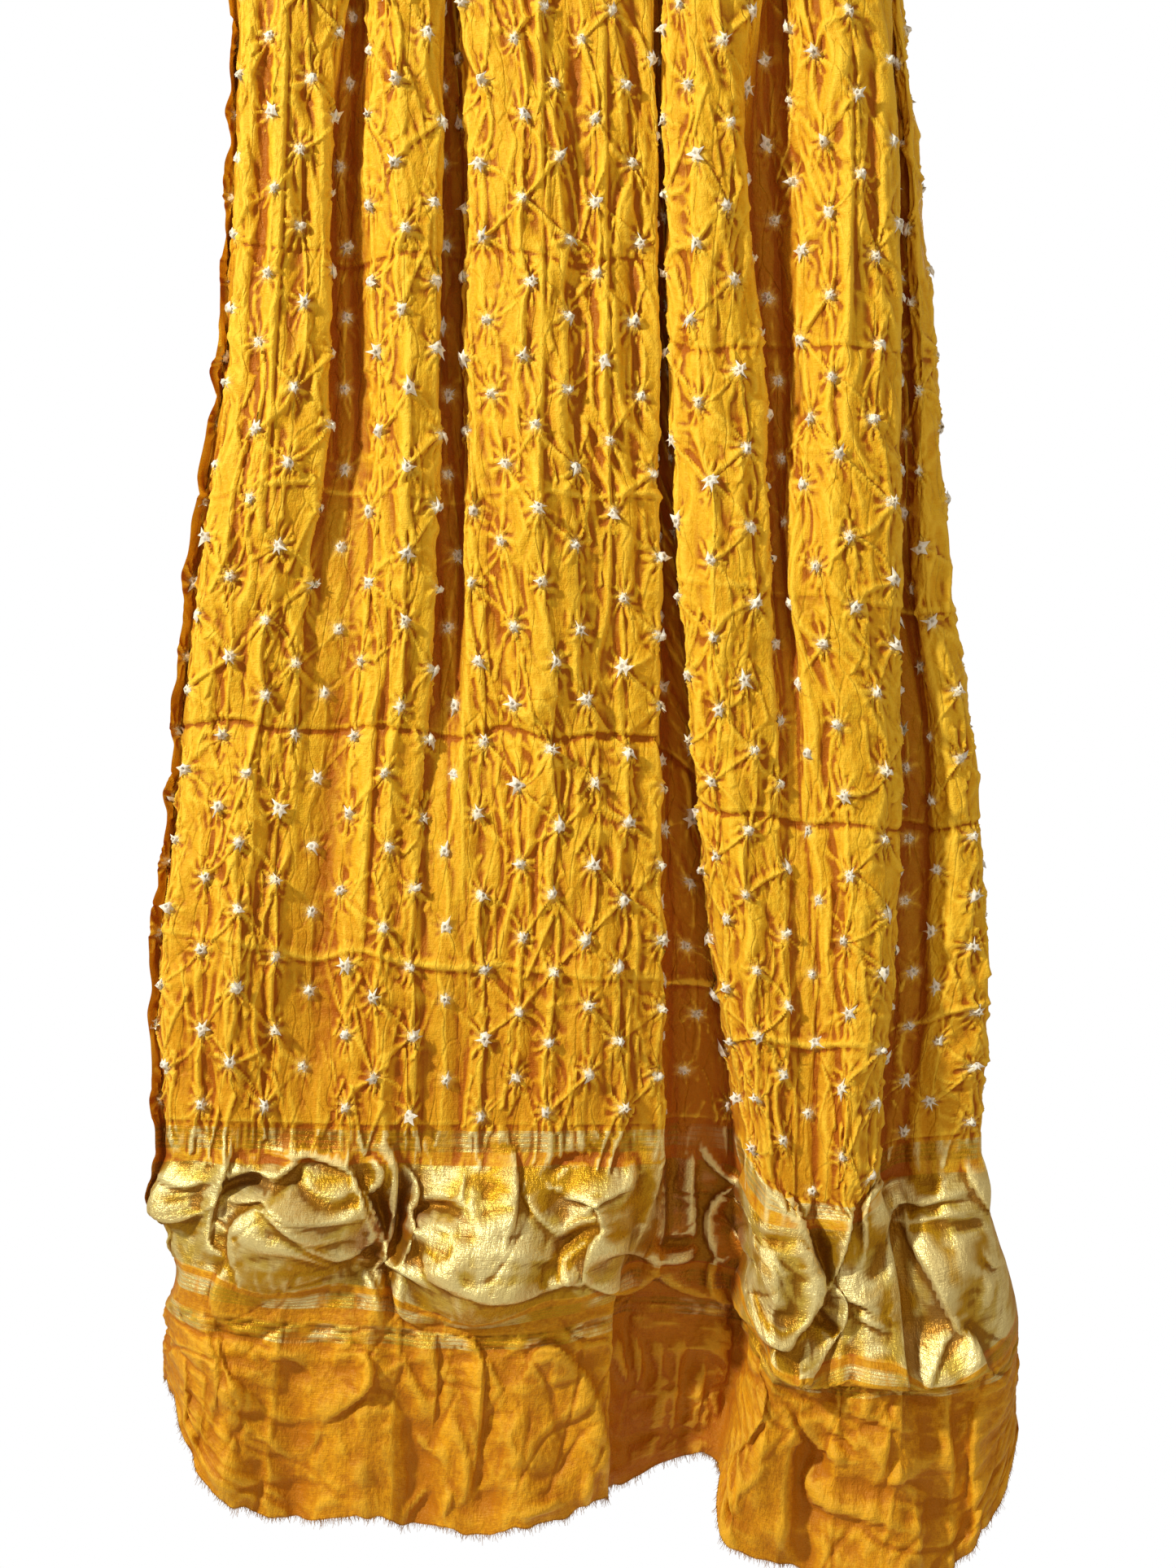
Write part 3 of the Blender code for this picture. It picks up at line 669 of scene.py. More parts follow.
class Puckers:
    """Raised and leaning pleats of the flat cloth: how high, and how far over sideways and up."""

    def __init__(self, grid):
        self.grid = grid
        self.high = np.zeros(grid.height.shape)
        self.over = np.zeros(grid.height.shape + (2,))

    def pleat(self, path, rise, left, right, lean):
        """One pleat along a path, steep on the right of it."""
        window = self.grid.window(path.min(axis=0) - left - 1, path.max(axis=0) + left + 1)
        if window is None:
            return
        x, y = self.grid.wide[window], self.grid.height[window]
        beside, along = path_distance(x, y, path)
        way = path[-1] - path[0]
        middle = path[0] + along[..., None] * way
        way = way / (np.hypot(*way) + 1e-6) * (1 if way[1] >= 0 else -1)
        to_right = np.array([way[1], -way[0]])
        on_right = (x - middle[..., 0]) * to_right[0] + (y - middle[..., 1]) * to_right[1] > 0
        share = clipped(1.0 - beside / np.where(on_right, right, left))
        high = rise * share ** 1.25 * (1.0 - 0.45 * np.sin(np.pi * along))
        taller = high > self.high[window]
        self.high[window] = np.where(taller, high, self.high[window])
        self.over[window] = np.where(taller[..., None], lean * high[..., None] * to_right, self.over[window])

    def moved(self, points, normals, ease):
        """Points with the pleats raised on them."""
        across, up = unit(np.gradient(points, axis=1)), unit(np.gradient(points, axis=0))
        shift = normals * self.high[..., None] + across * self.over[..., :1] + up * self.over[..., 1:]
        return points + shift * ease[..., None]


def field_puckers(grid, knots, widen, lean):
    """Puckers of the tied field: pleats from dot to dot, short rays and the dots' cones."""
    puckers = Puckers(grid)
    chance = np.random.default_rng(SEED + 1)
    for place in knots:
        for pinch in PINCHES:
            odds, bend = chance.random(), chance.uniform(-6, 6, 2)
            vigour, slim = chance.uniform(0.45, 1.2), chance.uniform(0.75, 1.15)
            if odds > pinch.odds:
                continue
            aim = place + (pinch.across, pinch.up)
            other = knots[np.argmin(np.hypot(*(knots - aim).T))]
            if np.hypot(*(other - aim)) > 14:
                other = aim
            path = bent_path(place, 0.5 * (place + other) + bend, other, 5)
            puckers.pleat(path, pinch.rise * vigour, PLEAT_LEFT * slim * widen,
                          PLEAT_RIGHT * slim * widen, lean)
        for _ in range(RAYS):
            turn, reach = chance.uniform(0, 2 * math.pi), chance.uniform(6, 15)
            end = place + reach * np.array([0.7 * math.cos(turn), 1.2 * math.sin(turn)])
            rise = RAY_RISE * chance.uniform(0.4, 1.0)
            puckers.pleat(np.array([place, end]), rise, 2.0 * widen, 1.7 * widen, lean)
        puckers.pleat(np.array([place, place + 0.1]), KNOT_HEIGHT, KNOT_RADIUS, KNOT_RADIUS, 0.0)
    return puckers


def loose_creases(grid, puckers):
    """Adds short lapped creases between the dots, more of them at the left and low down."""
    chance = np.random.default_rng(SEED + 5)
    for _ in range(LOOSE_CREASES):
        start = chance.uniform((4.0, BAND_TOP - 10), (FLAT_WIDTH - 4.0, grid.levels[-1]))
        keep, slant, vigour = chance.random(), chance.uniform(-0.32, 0.5), chance.uniform(0.35, 1.0)
        crowded = start[0] < 220 or start[1] < 480
        if keep > (1.0 if crowded else 0.55):
            continue
        length = LOOSE_LENGTH * (0.4 + vigour)
        end = start + (slant * length, length)
        bend = 0.5 * (start + end) + chance.uniform(-3, 3, 2)
        puckers.pleat(bent_path(start, bend, end, 4), LOOSE_RISE * vigour, 3.6, 1.7, PLEAT_LEAN)


def field_share(grid):
    """1 in the tied field, fading to 0 in the band."""
    return clipped((grid.height - BAND_TOP + 6) / 8)


def spoke_relief(grid, nearest):
    """Fine tension folds that fan out from every tied dot, longest up and down."""
    across, up = nearest[..., 0], SPOKE_SQUEEZE * nearest[..., 1]
    far = np.hypot(across, up)
    start = 0.37 * (grid.wide - nearest[..., 0]) + 0.61 * (grid.height - nearest[..., 1])
    turn = np.arctan2(up, across) + 0.35 * grid.noise(7, 9, 51)
    fan = 1 - 2 * np.abs(np.sin(0.5 * SPOKES * turn + 2 * math.pi * (start % 1.0)))
    return SPOKE_RISE * fan * clipped(1 - far / SPOKE_REACH) * clipped(far / 4.0)


def crumple(grid):
    """Small angular creases over the whole cloth, drawn out up and down."""
    wobble = 14 * grid.noise(40, 60, 11)
    x, y = grid.wide + wobble, grid.height + 1.4 * wobble
    sharp = 1 - 2.6 * np.abs(value_noise(x, y, 17, 40, 12))
    fine = 1 - 2.6 * np.abs(value_noise(x + 0.35 * y, y, 8, 17, 13))
    soft = value_noise(x - 0.3 * y, y, 22, 44, 14)
    upright = 1 - 2.4 * np.abs(value_noise(x + 0.08 * y, y, 9, 62, 15))
    patch = clipped(0.25 + 1.2 * value_noise(x, y, 75, 130, 16)) * clipped((grid.height - PANEL_TOP) / 40)
    return (0.55 * np.clip(sharp, -0.6, 1) + 0.28 * np.clip(fine, -0.6, 1) + 0.7 * soft
            + 0.8 * patch * np.clip(upright, -0.5, 1))


def edge_relief(grid):
    """The sharper edges of the packing creases."""
    relief = np.zeros(grid.height.shape)
    for edge in EDGES:
        above = grid.height - edge.height - 6 * grid.noise(36, 400, edge.height)
        vigour = 0.65 + 0.5 * grid.noise(45, 400, edge.height + 1)
        width = edge.half_width * np.where(above * edge.rise > 0, 1.0, EDGE_STEEP)
        relief += edge.rise * vigour * clipped(1 - np.abs(above) / width) ** 1.4
    return relief


def seen_places(points):
    """Where each point is seen from the front, as a place across and a drop at the foremost folds."""
    shrink = 1.0 / (1.0 + points[..., 1] / VIEW_DISTANCE)
    x = VIEW_MIDDLE_X + (points[..., 0] - VIEW_MIDDLE_X) * shrink
    drop = VIEW_MIDDLE_DROP + (-points[..., 2] - VIEW_MIDDLE_DROP) * shrink
    return x, drop


def add_ridges(points, ridges):
    """Moves the cloth into soft ridges and troughs listed in a table, steep on the side they lean to."""
    x, drop = seen_places(points)
    shift = np.zeros(points.shape)
    steps = np.arange(11)
    for ridge in map(Ridge._make, ridges):
        path = bent_path((ridge.x0, ridge.drop0), (ridge.x1, ridge.drop1), (ridge.x2, ridge.drop2), steps[-1])
        gentle = 1.4 * ridge.gentle
        steep = STEEP_SIDE if ridge.lean else gentle
        low, high = path.min(axis=0) - gentle, path.max(axis=0) + gentle
        near = (x > low[0]) & (x < high[0]) & (drop > low[1]) & (drop < high[1])
        if not near.any():
            continue
        beside, along = path_distance(x[near], drop[near], path)
        way, middle = ([np.interp(along * steps[-1], steps, part) for part in line.T]
                       for line in (np.gradient(path, axis=0), path))
        chord = path[-1] - path[0]
        turned = 1.0 if (chord[0] > 0.6 * chord[1]) == (ridge.lean >= 0) else -1.0
        side = turned * unit(np.stack([-way[1], way[0]], axis=-1))
        over = (x[near] - middle[0]) * side[:, 0] + (drop[near] - middle[1]) * side[:, 1] > 0
        share = clipped(1.0 - beside / np.where(over, steep, gentle))
        bump = ridge.rise * (share * share * (3 - 2 * share)) ** 0.8
        bump *= np.sin(np.pi * (0.06 + 0.88 * along)) ** 0.7
        lean = LEAN_SHARE * abs(ridge.lean) * np.abs(bump)
        shift[near] += np.stack([lean * side[:, 0], -bump, -lean * side[:, 1]], axis=-1)
    moved = points + shift
    past = np.clip(FRONT_SOFT - moved[..., 1], 0.0, None)
    moved[..., 1] += past - FRONT_ROOM * np.tanh(past / FRONT_ROOM)
    return moved


def add_bulges(points):
    """Pushes the cloth of the band out into soft rounded bulges."""
    x, drop = seen_places(points)
    shift = np.zeros(points.shape)
    for bulge in map(Bulge._make, BULGES):
        far = np.hypot((x - bulge.x) / bulge.half_across, (drop - bulge.drop) / bulge.half_down)
        bump = np.cos(0.5 * np.pi * clipped(far)) ** 1.3
        shift += bump[..., None] * np.array([bulge.side, -bulge.forward, -bulge.down])
    return points + shift


def valley_room(grid, room, narrow):
    """How far the crinkles may move: little inside the narrow valleys, so the sides stay apart."""
    free = np.full(len(grid.across), room)
    for fold in FOLDS[:-1]:
        start = grid.line_flat[fold.name + " tuck"].mean()
        end = grid.line_flat[fold.name + " floor right"].mean()
        near = clipped(1 - np.abs(grid.across - 0.5 * (start + end)) / (0.5 * (end - start) + 12))
        free = np.minimum(free, room - (room - narrow) * np.minimum(1.0, 2.0 * near))
    return np.repeat(free[None, :], len(grid.levels), 0)


def spans(points):
    """Lengths between neighbours across the cloth and up it."""
    return [np.linalg.norm(np.diff(points, axis=axis), axis=-1) for axis in (1, 0)]


def relax_every(count, base, offset, rest, room, rounds, smoothing, half):
    """Relaxes the sheet on every thread, or on every second one."""
    take = (slice(None, None, count), slice(None, None, count))
    rest = [run_lengths(lengths, count, axis)[take] for lengths, axis in zip(rest, (1, 0))]
    return relax(base[take], offset[take], rest, room[take], rounds, smoothing, half)


def settled(grid, zone, base, seeds):
    """How far the cloth of one zone moves when it is let slack and buckles along its seeds."""
    rows = slice(0, int(np.searchsorted(grid.levels, zone.head)) // 4 * 4 + 1)
    base, offset, heights = base[rows], (seeds - base)[rows], grid.height[rows]
    across, up = spans(base + offset)
    rest = (np.clip(grid.step_across * 0.97, across, across * zone.slack_across),
            np.clip(grid.step_up * 0.98, up, up * zone.slack_up))
    inside = clipped((zone.head - heights) / zone.fade)
    if zone.foot:
        inside = np.minimum(inside, clipped((heights - zone.foot) / zone.fade))
    room = zone.room * inside
    half = int(zone.wave / grid.step_up / 2), int(zone.wave / grid.step_across / 2)
    coarse = relax_every(2, base, offset, rest, room, zone.rounds, zone.smoothing, half)
    return relax_every(1, base, doubled(coarse, base.shape[:2]), rest, room, zone.rounds // 4,
                       0.4 * zone.smoothing, (2 * half[0], 2 * half[1]))


def settled_offset(grid, hung, normals, knots):
    """The middle-sized crinkles: seeded at the dots, then relaxed on a coarser grid."""
    strength = np.interp(grid.height, *CRUMPLE_SEEDS)
    relief = 0.8 * field_puckers(grid, knots, 1.6, 0.0).high * field_share(grid) + crumple(grid) * strength
    across, up = spans(hung)
    slack = across * (1 + 0.04 * strength[:, 1:]), across * (1 + 0.18 * strength[:, 1:])
    rest = np.clip(grid.step_across * 0.93, *slack), up * (1 + 0.015 * strength[1:])
    half = int(round(LOW_PASS_HALF / (2 * grid.step_across)))
    room = valley_room(grid, CRINKLE_ROOM, VALLEY_ROOM)
    offset = relax_every(2, hung, normals * relief[..., None], rest, room,
                         RELAX_ROUNDS, RELAX_SMOOTHING, (half, half))
    return SETTLED_SHARE * doubled(offset, hung.shape[:2])


def thin_creases(grid):
    """Thin wandering creases of the end panel and the band, in mm inwards."""
    grooves = np.zeros(grid.wide.shape)
    for line in THIN_CREASES:
        grooves -= clipped(1 - np.abs(grid.noise(line.across, line.up, line.seed, line.slope)) / line.width)
    patches = clipped(0.5 + 1.5 * grid.noise(52, 40, 71)) * clipped((BAND_TOP - grid.height) / 12)
    band = clipped((grid.height - PANEL_TOP) / 12)
    return grooves * patches * (PANEL_CREASE_DEPTH + (BAND_CREASE_DEPTH - PANEL_CREASE_DEPTH) * band)


def crinkled_surface(grid, knots, nearest):
    """The hung cloth with its crinkles, puckers, creases and listed folds, in mm."""
    hung = grid.hung()
    normals = grid_normals(hung)
    points = hung + settled_offset(grid, hung, normals, knots)
    ease = valley_room(grid, 1.0, VALLEY_ROOM / CRINKLE_ROOM)
    relief = crumple(grid) * np.interp(grid.height, *CRUMPLE_RISE) * ease + edge_relief(grid)
    relief += spoke_relief(grid, nearest) * ease
    points = points + normals * relief[..., None]
    puckers = field_puckers(grid, knots, 1.0, PLEAT_LEAN)
    loose_creases(grid, puckers)
    points = add_ridges(puckers.moved(points, normals, ease * field_share(grid)), TOP_PLEATS)
    slant = (0.7 * (grid.noise(15, 26, 41, 0.7) + grid.noise(19, 22, 42, -0.9))
             + 0.9 * (np.abs(grid.noise(34, 16, 43, 1.3)) + np.abs(grid.noise(30, 19, 44, -1.6))))
    for zone, folds in ((PANEL_ZONE, PANEL_FOLDS), (BAND_ZONE, BAND_FOLDS)):
        if zone is BAND_ZONE:
            points = add_bulges(points)
        seeds = points + FOLD_GAIN * box_mean(add_ridges(points, folds) - points, 1, 1)
        seeds[..., 1] += zone.noise * slant
        offset = settled(grid, zone, points, seeds)
        points[:len(offset)] += offset
    points += normals * thin_creases(grid)[..., None]
    edge = clipped(1 - np.minimum(grid.wide, FLAT_WIDTH - grid.wide) / 30)
    points[..., 0] += 2.4 * edge * grid.noise(300, 17, 31)
    points[..., 2] += 1.8 * clipped(1 - grid.height / 14) * grid.noise(9, 400, 21)
    return points


def box_mean(field, half_rows, half_columns):
    """Mean of a field over a window around each place."""
    for axis, half in ((0, half_rows), (1, half_columns)):
        half = max(1, half)
        padding = [(half + 1, half)] + [(0, 0)] * (field.ndim - 1)
        turned = np.moveaxis(field, axis, 0)
        total = np.cumsum(np.pad(turned, padding, mode="edge"), axis=0, dtype=np.float64)
        turned = (total[2 * half + 1:] - total[:-2 * half - 1]) / (2 * half + 1)
        field = np.moveaxis(turned, 0, axis).astype(np.float32)
    return field


def pull_pairs(points, first, second, rest, share):
    """Moves the two points of every pair toward the pair's rest length."""
    gap = points[second] - points[first]
    length = np.sqrt(np.einsum("ijk,ijk->ij", gap, gap)) + np.float32(1e-6)
    gap *= (np.float32(0.5 * share) * (1 - rest[first] / length))[..., None]
    points[first] += gap
    points[second] -= gap


def pair_sets():
    """Neighbouring pairs along, up and slantwise, in sets that share no point."""
    every, low, high = slice(None), slice(None, -1), slice(1, None)
    straight, slanting = [], []
    for start in (0, 1):
        even, odd = slice(start, -1, 2), slice(start + 1, None, 2)
        straight += [("across", (every, even), (every, odd)), ("up", (even, every), (odd, every))]
        slanting += [("slant", (even, low), (odd, high)), ("slant", (even, high), (odd, low))]
    return straight + slanting


def run_lengths(lengths, count, axis):
    """Length of the run of neighbouring spans that starts at each place of the grid."""
    lengths = np.moveaxis(lengths, axis, 0)
    total = np.cumsum(np.vstack([lengths, lengths[-1:]]), axis=0)
    before = np.vstack([np.zeros_like(total[:1]), total[:-1]])
    last = np.minimum(np.arange(len(total)) + count - 1, len(total) - 1)
    return np.moveaxis(total[last] - before, 0, axis)


def relax(base, offset, rest, cap, rounds, smoothing, half):
    """Lets the crinkled sheet find its threads' lengths while it stays near its hung shape."""
    base = base.astype(np.float32)
    points = base + offset.astype(np.float32)
    rest = dict(zip(("across", "up"), (lengths.astype(np.float32) for lengths in rest)))
    rest["slant"] = np.sqrt(rest["across"] ** 2 + rest["up"] ** 2)
    sets = pair_sets()
    cap = cap.astype(np.float32)[..., None]
    for turn in range(rounds):
        for kind, first, second in sets:
            if kind != "slant":
                pull_pairs(points, first, second, rest[kind], 0.9)
            elif turn % 2 == 0:
                pull_pairs(points, first, second, rest[kind], 0.25)
        drift = points - base
        if turn % 4 == 0:
            drift -= 0.5 * box_mean(drift, *half)
        drift[1:-1] += smoothing * (0.5 * (drift[:-2] + drift[2:]) - drift[1:-1])
        drift[:, 1:-1] += smoothing * (0.5 * (drift[:, :-2] + drift[:, 2:]) - drift[:, 1:-1])
        size = np.sqrt((drift * drift).sum(axis=-1, keepdims=True)) + np.float32(1e-6)
        points = base + drift * np.minimum(1.0, cap / size)
    return points - base


def doubled(field, shape):
    """A field of a coarse grid read on the next finer one."""
    for axis in (0, 1):
        turned = np.moveaxis(field, axis, 0)
        fine = np.zeros((shape[axis],) + turned.shape[1:], np.float32)
        fine[::2] = turned
        fine[1::2] = 0.5 * (turned[:-1] + turned[1:])
        field = np.moveaxis(fine, 0, axis)
    return field


def nearest_knot(grid, knots):
    """Way from the nearest tied dot to each place of the flat cloth and its length, in mm."""
    nearest = np.full(grid.height.shape + (3,), FAR_FROM_KNOTS, np.float32)
    for place in knots:
        window = grid.window(place - KNOT_REACH, place + KNOT_REACH)
        if window is None:
            continue
        way = np.stack([grid.wide[window], grid.height[window]], axis=-1) - place
        way = np.concatenate([way, np.linalg.norm(way, axis=-1, keepdims=True)], axis=-1)
        nearest[window] = np.where(way[..., 2:] < nearest[window][..., 2:], way, nearest[window])
    return nearest


def mesh_from_grid(name, surface, normals, rows, fields):
    """One piece of the cloth: some rows of the grid, with fields of the flat cloth as attributes."""
    points = surface[rows].reshape(-1, 3) * MM
    vertex = np.arange(len(points)).reshape(surface[rows].shape[:2])
    corners = np.stack([vertex[:-1, :-1], vertex[:-1, 1:], vertex[1:, 1:], vertex[1:, :-1]], axis=-1)
    corners = corners.reshape(-1, 4)
    mesh = bpy.data.meshes.new(name)
    mesh.vertices.add(len(points))
    mesh.vertices.foreach_set("co", points.astype(np.float32).ravel())
    mesh.loops.add(corners.size)
    mesh.loops.foreach_set("vertex_index", corners.astype(np.int32).ravel())
    mesh.polygons.add(len(corners))
    mesh.polygons.foreach_set("loop_start", np.arange(0, corners.size, 4, dtype=np.int32))
    mesh.update(calc_edges=True)
    mesh.validate()
    flat = fields["flat_mm"][rows].reshape(-1, 3)[:, :2]
    low, high = flat.min(axis=0), flat.max(axis=0)
    spread = (flat - low) / (high - low) * 0.996 + 0.002
    bake_map = mesh.uv_layers.new(name="OFBake")
    bake_map.uv.foreach_set("vector", spread[corners.ravel()].astype(np.float32).ravel())
    for key, field in fields.items():
        kind, slot = ("FLOAT_VECTOR", "vector") if field.ndim == 3 else ("FLOAT", "value")
        layer = mesh.attributes.new(key, kind, "POINT")
        layer.data.foreach_set(slot, field[rows].astype(np.float32).ravel())
    mesh.shade_smooth()
    mesh.normals_split_custom_set_from_vertices(normals[rows].reshape(-1, 3).tolist())
    piece = bpy.data.objects.new(name, mesh)
    bpy.context.scene.collection.objects.link(piece)
    return piece


def place_camera():
    """The camera, level in front of the middle of the hanging cloth."""
    camera_data = bpy.data.cameras.new("camera")
    camera_data.sensor_fit = "VERTICAL"
    camera_data.sensor_height = SENSOR_HEIGHT
    camera_data.lens = SENSOR_HEIGHT * VIEW_DISTANCE / VIEW_HEIGHT
    camera = bpy.data.objects.new("camera", camera_data)
    place = Vector((VIEW_MIDDLE_X + CAMERA_SHIFT, -VIEW_DISTANCE, -VIEW_MIDDLE_DROP))
    camera.location = place * MM
    camera.rotation_euler = (math.radians(90), 0, 0)
    bpy.context.scene.collection.objects.link(camera)
    bpy.context.scene.camera = camera


def light_studio():
    """Three plain lights and a pale world that is seen as white."""
    for row in LIGHTS:
        light_data = bpy.data.lights.new(row.name, "AREA")
        light_data.shape = "DISK"
        light_data.size = row.size
        light_data.energy = row.watts
        light_data.color = row.colour
        light = bpy.data.objects.new(row.name, light_data)
        light.location = row.place
        light.rotation_euler = (Vector(LIGHT_AIM) - Vector(row.place)).to_track_quat("-Z", "Y").to_euler()
        bpy.context.scene.collection.objects.link(light)
    world = bpy.data.worlds.new("studio")
    bpy.context.scene.world = world
    world.use_nodes = True
    nodes, links = world.node_tree.nodes, world.node_tree.links
    seen = nodes.new("ShaderNodeBackground")
    for background, colour, strength in ((nodes["Background"], WORLD_COLOUR, 0.42), (seen, (1, 1, 1), 1.0)):
        background.inputs["Color"].default_value = (*colour, 1)
        background.inputs["Strength"].default_value = strength
    mix = nodes.new("ShaderNodeMixShader")
    links.new(nodes.new("ShaderNodeLightPath").outputs["Is Camera Ray"], mix.inputs["Fac"])
    links.new(nodes["Background"].outputs["Background"], mix.inputs[1])
    links.new(seen.outputs["Background"], mix.inputs[2])
    links.new(mix.outputs["Shader"], nodes["World Output"].inputs["Surface"])
    bpy.context.scene.view_settings.view_transform = "Standard"


class Recipe:
    """A material and short ways to add shader nodes to it."""

    def __init__(self, name):
        self.material = bpy.data.materials.new(name)
        self.material.use_nodes = True
        self.nodes = self.material.node_tree.nodes
        self.links = self.material.node_tree.links

    def put(self, socket, value):
        if isinstance(value, bpy.types.NodeSocket):
            self.links.new(value, socket)
        else:
            socket.default_value = value

    def node(self, kind, inputs, output=0, **settings):
        """A new node's output, with its settings made and its inputs filled."""
        node = self.nodes.new("ShaderNode" + kind)
        for name, value in settings.items():
            setattr(node, name, value)
        for name, value in inputs.items():
            self.put(node.inputs[name], value)
        return node.outputs[output]

    def math(self, operation, *values):
        return self.node("Math", dict(enumerate(values)), operation=operation)

    def total(self, base, *terms):
        """A base value and weighted terms added to it."""
        for value, weight in terms:
            base = self.math("MULTIPLY_ADD", value, weight, base)
        return base

    def range(self, value, low, high, to_low=0.0, to_high=1.0):
        values = dict(enumerate((value, low, high, to_low, to_high)))
        return self.node("MapRange", values, interpolation_type="SMOOTHSTEP")

    def mix(self, factor, first, second):
        inputs = {"Factor": factor}
        for name, colour in (("A", first), ("B", second)):
            inputs[name] = (*colour, 1.0) if isinstance(colour, tuple) else colour
        return self.node("Mix", inputs, "Result", data_type="RGBA")

    def attribute(self, name, output):
        return self.node("Attribute", {}, output, attribute_name=name)

    def parts(self, vector):
        node = self.nodes.new("ShaderNodeSeparateXYZ")
        self.links.new(vector, node.inputs[0])
        return tuple(node.outputs)

    def scaled(self, vector, x, y):
        return self.node("VectorMath", {0: vector, 1: (x, y, 1.0)}, operation="MULTIPLY")

    def noise(self, vector, x, y, detail=2.0, roughness=0.5):
        values = {"Vector": self.scaled(vector, x, y), "Scale": 1.0, "Detail": detail, "Roughness": roughness}
        return self.node("TexNoise", values, "Fac", noise_dimensions="2D")

    def bump(self, height, distance, strength):
        return self.node("Bump", {"Distance": distance, "Strength": strength, "Height": height}, "Normal")

    def finish(self, values):
        """The material, with the inputs of its surface filled."""
        for name, value in values.items():
            self.put(self.nodes["Principled BSDF"].inputs[name], value)
        return self.material


def stripe(recipe, up, foot, head, soft=0.6):
    """1 between two heights of the flat cloth, 0 outside."""
    return recipe.math("MULTIPLY", recipe.range(up, foot - soft, foot + soft),
                       recipe.range(up, head - soft, head + soft, 1.0, 0.0))


def crease_net(recipe, flat, wide, tall):
    """Thin creases between long cells: 0 in a crease, 1 beside it."""
    bend = recipe.noise(flat, 0.05, 0.03, 1.0)
    scaled = recipe.scaled(flat, 1 / wide, 1 / tall)
    shifted = recipe.node("VectorMath", {0: bend, 1: scaled}, operation="ADD")
    cells = recipe.node("TexVoronoi", {"Scale": 1.0, "Vector": shifted}, "Distance",
                        voronoi_dimensions="2D", feature="DISTANCE_TO_EDGE")
    return recipe.range(cells, 0.0, 0.075)


def dyed_silk(recipe, flat, light, deep):
    """Colour of the unevenly dyed crepe silk, with its crossing threads."""
    clouds = recipe.noise(flat, 0.05, 0.035, 3.0, 0.6)
    mottle = recipe.noise(flat, 0.30, 0.22, 3.0, 0.65)
    threads = recipe.noise(flat, 0.16, 1.5, 2.0, 0.6)
    grain = recipe.noise(flat, 1.9, 1.1, 1.0, 0.5)
    shade = recipe.total(-0.22, (clouds, 0.9), (mottle, 0.75), (threads, 0.55), (grain, 0.30))
    return recipe.mix(recipe.range(shade, 0.45, 1.45), light, deep), threads, grain


def painted_fold_shading(recipe, colour, crest, strength, crease, valley_shade_share):
    """Painted highlight on the crests of the crinkles, and painted shade in their hollows and in the deep
    valleys.
    """
    hollow = recipe.attribute("hollow", "Fac")
    sunken = recipe.math("MULTIPLY", recipe.attribute("sunken", "Fac"), valley_shade_share)
    # Painted shade in the valleys, deeper where the place lies further behind the folds around it.
    colour = recipe.mix(sunken, colour, CREASE_SHADE)
    # Painted highlight on the crests, then painted shade in the creases.
    colour = recipe.mix(recipe.range(hollow, -0.9, 0.0, strength, 0.0), colour, crest)
    return recipe.mix(recipe.range(hollow, 0.05, 0.8, 0.0, 0.9), colour, crease)


def weave_bump(recipe, flat, threads, grain, creases=0.0):
    """Crossing threads, slack spots and thin creases as one fine relief, in millimetres."""
    slack = recipe.noise(flat, 0.40, 0.24, 2.0, 0.6)
    relief = recipe.total(recipe.math("MULTIPLY", grain, 0.22), (threads, 0.30), (slack, 1.0))
    if creases:
        relief = recipe.total(relief, (crease_net(recipe, flat, 14.0, 60.0), creases))
    return recipe.bump(relief, 0.001, 0.85)


def silk_material():
    """Tied and dyed crepe silk: orange yellow, with undyed stars at the tied dots."""
    recipe = Recipe("saffron_silk")
    flat = recipe.attribute("flat_mm", "Vector")
    colour, threads, grain = dyed_silk(recipe, flat, FIELD_LIGHT, FIELD_DEEP)
    colour = recipe.mix(recipe.range(recipe.parts(flat)[1], STRIPE_TOP, 560, 0.55, 0.0), colour, FIELD_LOW)
    # Painted highlight on the crests, and painted shade in the creases and valleys.
    colour = painted_fold_shading(recipe, colour, CREST_HIGHLIGHT, 0.7, CREASE_SHADE, VALLEY_SHADE_SHARE)
    across, up, distance = recipe.parts(recipe.attribute("from_knot", "Vector"))
    turn = recipe.total(recipe.math("MULTIPLY", grain, 9.0), (recipe.math("ARCTAN2", up, across), 5.0))
    far = recipe.total(distance, (recipe.math("SINE", turn), 0.9), (recipe.noise(flat, 0.9, 0.9), 2.6))
    colour = recipe.mix(recipe.range(far, 4.5, 9.5, 0.38, 0.0), colour, HALO_COLOUR)
    colour = recipe.mix(recipe.range(far, 3.9, 5.0, 1.0, 0.0), colour, UNDYED_COLOUR)
    return recipe.finish({
        "Base Color": colour, "Roughness": recipe.range(threads, 0.3, 0.7, 0.40, 0.56),
        "Sheen Weight": 0.08, "Sheen Roughness": 0.45, "Sheen Tint": (1.0, 0.75, 0.35, 1.0),
        "Specular IOR Level": 0.26, "Specular Tint": (1.0, 0.82, 0.40, 1.0),
        "Normal": weave_bump(recipe, flat, threads, grain, 0.6)})


def metal_look(recipe, flat):
    """Pale metal thread with painted gleaming patches; mustard where it is worn and the silk weft shows, and
    partly painted darker reflection where it is folded over; and its fine cross lines.
    """
    # Mustard patches: partly the silk weft showing, partly painted darker reflection where the thread is
    # folded over.
    worn = recipe.range(recipe.noise(flat, 0.022, 0.026, 2.0, 0.5), 0.47, 0.58)
    lines = recipe.noise(flat, 0.09, 1.7, 1.0, 0.5)
    # Painted highlight: patches of brighter, gleaming metal.
    gleam = recipe.noise(flat, 0.045, 0.03, 2.0, 0.5)
    pale = recipe.mix(recipe.range(gleam, 0.40, 0.66), METAL_PALE, METAL_HIGHLIGHT)
    pale = recipe.mix(recipe.range(lines, 0.35, 0.8, 0.0, 0.45), pale, METAL_DEEP)
    return recipe.mix(worn, pale, METAL_MUSTARD), lines


